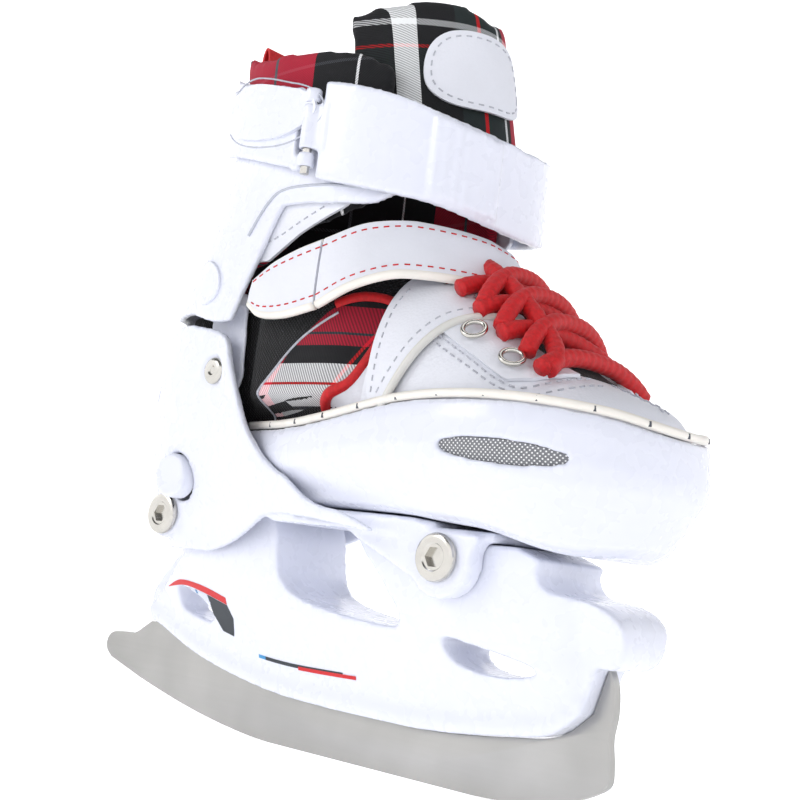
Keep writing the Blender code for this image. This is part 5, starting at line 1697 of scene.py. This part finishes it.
class SKATE_OT_lacing(SkatePiece):
    """Laces the upper through its eyelets"""
    bl_idname = "skate.lacing"
    bl_label = "Laces and eyelets"

    def make(self):
        nickel = nickel_plate("nickel plate")
        for row, x in enumerate(EYELET_ROWS):
            for word, angle in (("outer", EYELET_ANGLE), ("inner", 180 - EYELET_ANGLE)):
                centre, axis = over_vamp(x, angle, 2 * FIT + EYELET_WIRE)
                node = f"eyelet_{word}_{row + 1}"
                mesh = ring_mesh(centre, axis, EYELET_RADIUS, EYELET_WIRE, 40, 14)
                stand_for(node.replace("_", "-"), finished(mesh, angle=180), nickel, node)
        radius = sizes().cord / MM
        lace = braided_polyester("braided polyester, red", colours().red)
        cords = []
        for x, ahead, start, lift in ((54, 10, 60, 5.0), (64, 9, 56, 4.4), (74, 9, 54, 4.0)):
            for flip in (False, True):
                line = []
                for share in spread(0, 1, 15):
                    angle = start + (180 - 2 * start) * share
                    rise = lift + (2 * radius if flip else 0.4) * math.sin(math.pi * share)
                    place = vamp_skin(x + ahead * share, 180 - angle if flip else angle, rise)
                    line.append(place)
                fine = rounded(line, 6, closed=False)
                cords.append(swept(even(fine, 0.5), radius, 24, braid(radius)))
        front = [vamp_skin(90, angle, 4.2) for angle in spread(48, 132, 15)]
        ridge = [vamp_skin(x, angle, lift) for x, angle, lift in (
            (50, 84, 7.5), (57, 80, 8.6), (66, 78, 8.4), (75, 76, 8.0), (84, 72, 6.4), (90, 62, 4.6), (91,
                    50, 3.2))]
        for line in (front, ridge):
            cords.append(swept(even(rounded(line, 6, closed=False), 0.5), radius, 24, braid(radius)))
        stand_for("lace_cords", merged(cords), lace, "lace")


class SKATE_OT_collar(SkatePiece):
    """Pads the leg of the liner, with its ankle patches and pull tab"""
    bl_idname = "skate.collar"
    bl_label = "Liner collar"

    def make(self):
        def low(x):
            return smooth(SHAFT_BOTTOM, x)

        def high(x):
            return smooth(SHAFT_TOP, x)

        wall = u_wall(44, low, high, CUFF_WALL + SLIDE + 0.6, SHAFT_WALL - 0.8, SHAFT_FRONT, 24)
        pad = swollen(wall, 2.4, 0.9)
        lay_cloth(pad, lambda p: (angle_round(p) * 0.72, p.z))
        made = stand_for("collar_pad", pad, plaid_material(), "liner_shaft")
        for side, word in ((-1, "outer"), (1, "inner")):
            self.ankle_patch(side, word)
        red = braided_polyester("woven polyester, red", colours().red)
        top = smooth(SHAFT_TOP, -80)
        back = smooth(HEEL_STATIONS, top)[0] + CUFF_WALL + SLIDE
        loop = rounded([(back + 4.6, 0, top - 4), (back + 4.4, 0, top + 3), (back + 3.4, 0, top + 6.6),
                        (back + 2.2, 0, top + 6.8), (back + 1.2, 0, top + 3.5), (back + 1.0, 0,
                                top - 3)], 8, closed=False)
        rings = []
        for k, point in enumerate(loop):
            ahead = loop[min(k + 1, len(loop) - 1)] - loop[max(k - 1, 0)]
            out = Vector((ahead.z, 0, -ahead.x)).normalized() * 0.45
            rings.append([point + out + Vector((0, 6.5, 0)), point - out + Vector((0, 6.5, 0)),
                          point - out - Vector((0, 6.5, 0)), point + out - Vector((0, 6.5, 0))])
        made = finished(loft(rings), angle=50)
        stand_for("pull_loop", made, red, "pull_tab")


    def ankle_patch(self, side, word):
        """The coated patch on the shaft between the cuff and the instep strap, with its stitch row."""
        def skin(x, z, lift):
            return heel_skin(x, z, lift - CUFF_WALL - SLIDE - 0.6, side)

        outline = [(-27, 182), (-30, 170), (-31, 161), (-20, 161), (-6, 169), (11, 177), (17, 181), (14,
                187), (-8, 187)]
        made = panel(outline, skin, 1.2, 1.1, 2.0)
        piece_of("ankle_patch_" + word, made, white_leather(), "cuff")
        thread = braided_polyester("sewing thread, light grey", "#C2C4CE")
        line = rounded([(-28, 166), (-18, 168), (-6, 173), (9, 180)], 10, closed=False)
        path = [skin(p[0], p[1], 1.25) for p in line]
        piece_of("ankle_stitching_" + word, stitches(path, 0.28), thread, "cuff")


class SKATE_OT_tongue(SkatePiece):
    """Pads the tongue and sews on its patch"""
    bl_idname = "skate.tongue"
    bl_label = "Tongue"

    def make(self):
        def columns(depth):
            found = []
            for a in spread(0, TONGUE_SPAN, 26):
                low = TONGUE_LOW + 0.12 * a
                high = TONGUE_HIGH - 0.0035 * (a - TONGUE_CREST) ** 2 - depth * 0.2 - 0.8
                found.append(tongue_column(a, depth, low, high, 40))
            return found

        pad = swollen(u_shell(columns(0.5), columns(TONGUE_WALL - 0.5)), 2.4, 1.4)
        lay_cloth(pad, lambda p: (p.y + 14, p.z))
        made = stand_for("tongue_pad", pad, plaid_tongue(), "tongue")

        def skin(angle, z, lift):
            return tongue_column(angle, -lift, z, z + 1, 2)[0]

        shape = rounded([(-16, 222), (-14, 235), (-4, 240), (14, 241.5), (32, 240), (42, 233), (44, 221),
                         (34, 214.5),
                         (14, 213.5), (-6, 214.5)], 6)
        outline = [tuple(p[:2]) for p in shape]
        patch = panel(outline, skin, FIT + 1.3, 1.1, 2.0)
        made = stand_for("tongue_patch", patch, white_leather(), "tongue_badge")
        edge = rounded([(14 + (a - 14) * 0.9, 227.5 + (z - 227.5) * 0.86, 0) for a, z in outline[::4]], 4)
        path = [skin(p[0], p[1], FIT + 1.35) for p in edge + edge[:1]]
        thread = braided_polyester("sewing thread, light grey", "#C2C4CE")
        piece_of("patch_stitching", stitches(path, 0.28), thread, "cuff")


class SKATE_OT_power_strap(SkatePiece):
    """Lays the instep strap and its free end"""
    bl_idname = "skate.power_strap"
    bl_label = "Instep strap"

    OVER = (
        ((8.0, -38.7, 155), (-0.1, 0.12, 1), 22), ((22, -36, 160.5), (-0.15, 0.3, 1), 22),
        ((35, -28.5, 163.5), (-0.25, 0.5, 1), 21.5), ((45, -17, 163.4), (-0.4, 0.4, 1), 20),
        ((51, -3, 162.8), (-0.6, 0.05, 1), 19.5), ((51, 11, 161.5), (-0.6, -0.3, 1), 19.5),
        ((43, 24, 158), (-0.4, -0.5, 1), 20), ((29, 33.5, 153), (-0.2, -0.4, 1), 20.5),
        ((14, 37.9, 147), (-0.1, -0.2, 1), 20),
    )
    TAB = (
        ((7.2, -38.9, 154.7), (-0.1, 0.12, 1), 22), ((-4, -39.9, 152), (0.1, 0.05, 1), 21),
        ((-15, -39.8, 150.5), (0.25, 0.0, 1), 17), ((-23.5, -38.8, 150), (0.3, -0.1, 1), 8),
    )

    def make(self):
        leather = white_leather()
        red = braided_polyester("sewing thread, red", colours().red)
        vinyl = soft_vinyl("soft vinyl, cream", colours().binding)
        for name, stations, node, body in (("instep_strap", self.OVER, "power_strap", "toe_section"),
                                           ("strap_end", self.TAB, "power_strap_tab", "strap_tab")):
            line = self.fine(stations)
            made = self.belt(line, STRAP_THICKNESS)
            stand_for(name, made, leather, node)
            for word, side, radius in (("upper", 0.5, 0.9), ("lower", -0.5, 1.5)):
                path = [c + w * side for c, w, out in line]
                piece_of(f"{name}_edge_{word}", swept(path, radius, 12), vinyl, body)
            for word, side in (("upper", 0.39), ("lower", -0.37)):
                path = [c + w * side + out * (STRAP_THICKNESS / 2 + 0.1) for c, w, out in line]
                piece_of(f"{name}_sewing_{word}", stitches(path, 0.3), red, body)
        line = self.fine(self.TAB)
        ends = [c + w * side for side, (c, w, out) in ((0.5, line[-1]), (0.0, line[-1]), (-0.5, line[-1]))]
        piece_of("strap_end_tip", swept(ends, 1.2, 12), vinyl, "strap_tab")

    def fine(self, stations):
        """Centre, width vector and outward direction at many places along the strap."""
        flat = [(*c, *(Vector(w).normalized() * width)) for c, w, width in stations]
        count = len(flat)
        found = []
        for k in range((count - 1) * 10 + 1):
            at = k / 10
            values = smooth([(i, *row) for i, row in enumerate(flat)], at)
            found.append((Vector(values[:3]), Vector(values[3:])))
        line = []
        for k, (centre, width) in enumerate(found):
            ahead = found[min(k + 1, len(found) - 1)][0] - found[max(k - 1, 0)][0]
            out = width.cross(ahead).normalized()
            if out.dot(Vector((centre.x - 10, centre.y, (centre.z - 130) * 0.6))) < 0:
                out.negate()
            line.append((centre, width, out))
        return line

    def belt(self, line, thickness):
        rings = []
        for centre, width, out in line:
            ring = []
            for k in range(9):
                share = k / 8 - 0.5
                ring.append(centre + width * share + out * (thickness / 2 + 0.35 * (1 - 4 * share**2)))
            for k in range(9):
                share = 0.5 - k / 8
                ring.append(centre + width * share - out * thickness / 2)
            rings.append(ring)
        return finished(loft(rings), angle=60)


class SKATE_OT_stage(SkatePiece):
    """Sets the floor, the soft lights and the camera"""
    bl_idname = "skate.stage"
    bl_label = "Stage"

    def make(self):
        profile = [(0.0, 0.0), (0.8, 0.0), (1.6, 0.0)]
        for k in range(1, 13):
            a = k / 12 * math.pi / 2
            profile.append((1.6 + 0.9 * math.sin(a), 0.9 - 0.9 * math.cos(a)))
        profile.append((2.5, 1.6))
        bm = bmesh.new()
        count = 96
        rings = []
        for radius, height in profile[1:]:
            rings.append([bm.verts.new((radius * math.cos(math.tau * k / count),
                    radius * math.sin(math.tau * k / count),
                                        height)) for k in range(count)])
        bm.faces.new(rings[0])
        for a, b in zip(rings, rings[1:]):
            for k in range(count):
                bm.faces.new((a[k], a[(k + 1) % count], b[(k + 1) % count], b[k]))
        bmesh.ops.recalc_face_normals(bm, faces=bm.faces)
        mesh = bpy.data.meshes.new("floor")
        bm.to_mesh(mesh)
        bm.free()
        mesh.shade_smooth()
        paint, _, shader = surface("matt white paint", Roughness=0.9)
        shader.inputs["Base Color"].default_value = linear("#FAFAFC")
        shader.inputs["Emission Color"].default_value = (1.0, 1.0, 1.0, 1.0)
        shader.inputs["Emission Strength"].default_value = 0.62
        mesh.materials.append(paint)
        floor = bpy.data.objects.new("floor", mesh)
        bpy.context.scene.collection.objects.link(floor)
        self.lights()
        self.camera()

    def lights(self):
        world = bpy.data.worlds.new("soft daylight")
        world.use_nodes = True
        sky = world.node_tree.nodes["Background"]
        sky.inputs["Color"].default_value = linear("#F6F7FC")
        sky.inputs["Strength"].default_value = 0.12
        bpy.context.scene.world = world
        bpy.context.scene.view_settings.view_transform = "Standard"
        for name, place, size, power, code in (
                ("key softbox", (-0.55, -1.0, 0.75), 0.5, 2.6, "#FFFFFF"),
                ("top softbox", (0.1, -0.1, 1.3), 0.7, 2.0, "#FFFFFF"),
                ("fill softbox", (1.0, 0.2, 0.5), 0.8, 0.3, "#E4E6FF")):
            data = bpy.data.lights.new(name, "AREA")
            data.shape = "DISK"
            data.size = size
            data.energy = power
            data.color = linear(code)[:3]
            light = bpy.data.objects.new(name, data)
            light.location = place
            light.rotation_euler = (Vector((0, 0, 0.12)) - Vector(place)).to_track_quat("-Z", "Y").to_euler()
            bpy.context.scene.collection.objects.link(light)

    def camera(self):
        """Low on the toe's outer side, tilted a little up, and leaning."""
        yaw, pitch, roll = math.radians(42.17), math.radians(-6.99), math.radians(6.69)
        back = Vector((math.sin(yaw) * math.cos(pitch), -math.cos(yaw) * math.cos(pitch), math.sin(pitch)))
        right = Vector((0, 0, 1)).cross(back).normalized()
        up = back.cross(right)
        side = right * math.cos(roll) + up * math.sin(roll)
        top = up * math.cos(roll) - right * math.sin(roll)
        data = bpy.data.cameras.new("camera")
        data.sensor_width = 36.0
        data.lens = 59.75
        data.clip_start = 0.01
        camera = bpy.data.objects.new("camera", data)
        turn = Matrix((side, top, back)).transposed().to_4x4()
        camera.matrix_world = Matrix.Translation(Vector((0.31024, -0.32809, 0.06587))) @ turn
        bpy.context.scene.collection.objects.link(camera)
        bpy.context.scene.camera = camera


STEPS = (
    SKATE_OT_stage,
    SKATE_OT_blade,
    SKATE_OT_holder,
    SKATE_OT_bolts,
    SKATE_OT_heel_shell,
    SKATE_OT_toe_shell,
    SKATE_OT_size_lock,
    SKATE_OT_cuff,
    SKATE_OT_cuff_strap,
    SKATE_OT_buckle,
    SKATE_OT_boot,
    SKATE_OT_upper,
    SKATE_OT_binding,
    SKATE_OT_lacing,
    SKATE_OT_collar,
    SKATE_OT_tongue,
    SKATE_OT_power_strap,
)


class SKATE_PT_panel(bpy.types.Panel):
    """Lists the skate's settings and its steps"""
    bl_label = "Ice skate"
    bl_idname = "SKATE_PT_panel"
    bl_space_type = "VIEW_3D"
    bl_region_type = "UI"
    bl_category = "Skate"

    def draw(self, context):
        for group in (context.scene.skate_sizes, context.scene.skate_colours):
            for name in group.bl_rna.properties.keys():
                if name not in ("rna_type", "name"):
                    self.layout.prop(group, name)
        for step in STEPS:
            self.layout.operator(step.bl_idname)


CLASSES = (SkateSizes, SkateColours, *STEPS, SKATE_PT_panel)


def register():
    for item in CLASSES:
        bpy.utils.register_class(item)
    bpy.types.Scene.skate_sizes = bpy.props.PointerProperty(type=SkateSizes)
    bpy.types.Scene.skate_colours = bpy.props.PointerProperty(type=SkateColours)


def unregister():
    del bpy.types.Scene.skate_sizes
    del bpy.types.Scene.skate_colours
    for item in reversed(CLASSES):
        bpy.utils.unregister_class(item)


def main():
    register()
    for step in STEPS:
        group, name = step.bl_idname.split(".")
        getattr(getattr(bpy.ops, group), name)()


if __name__ == "__main__":
    main()
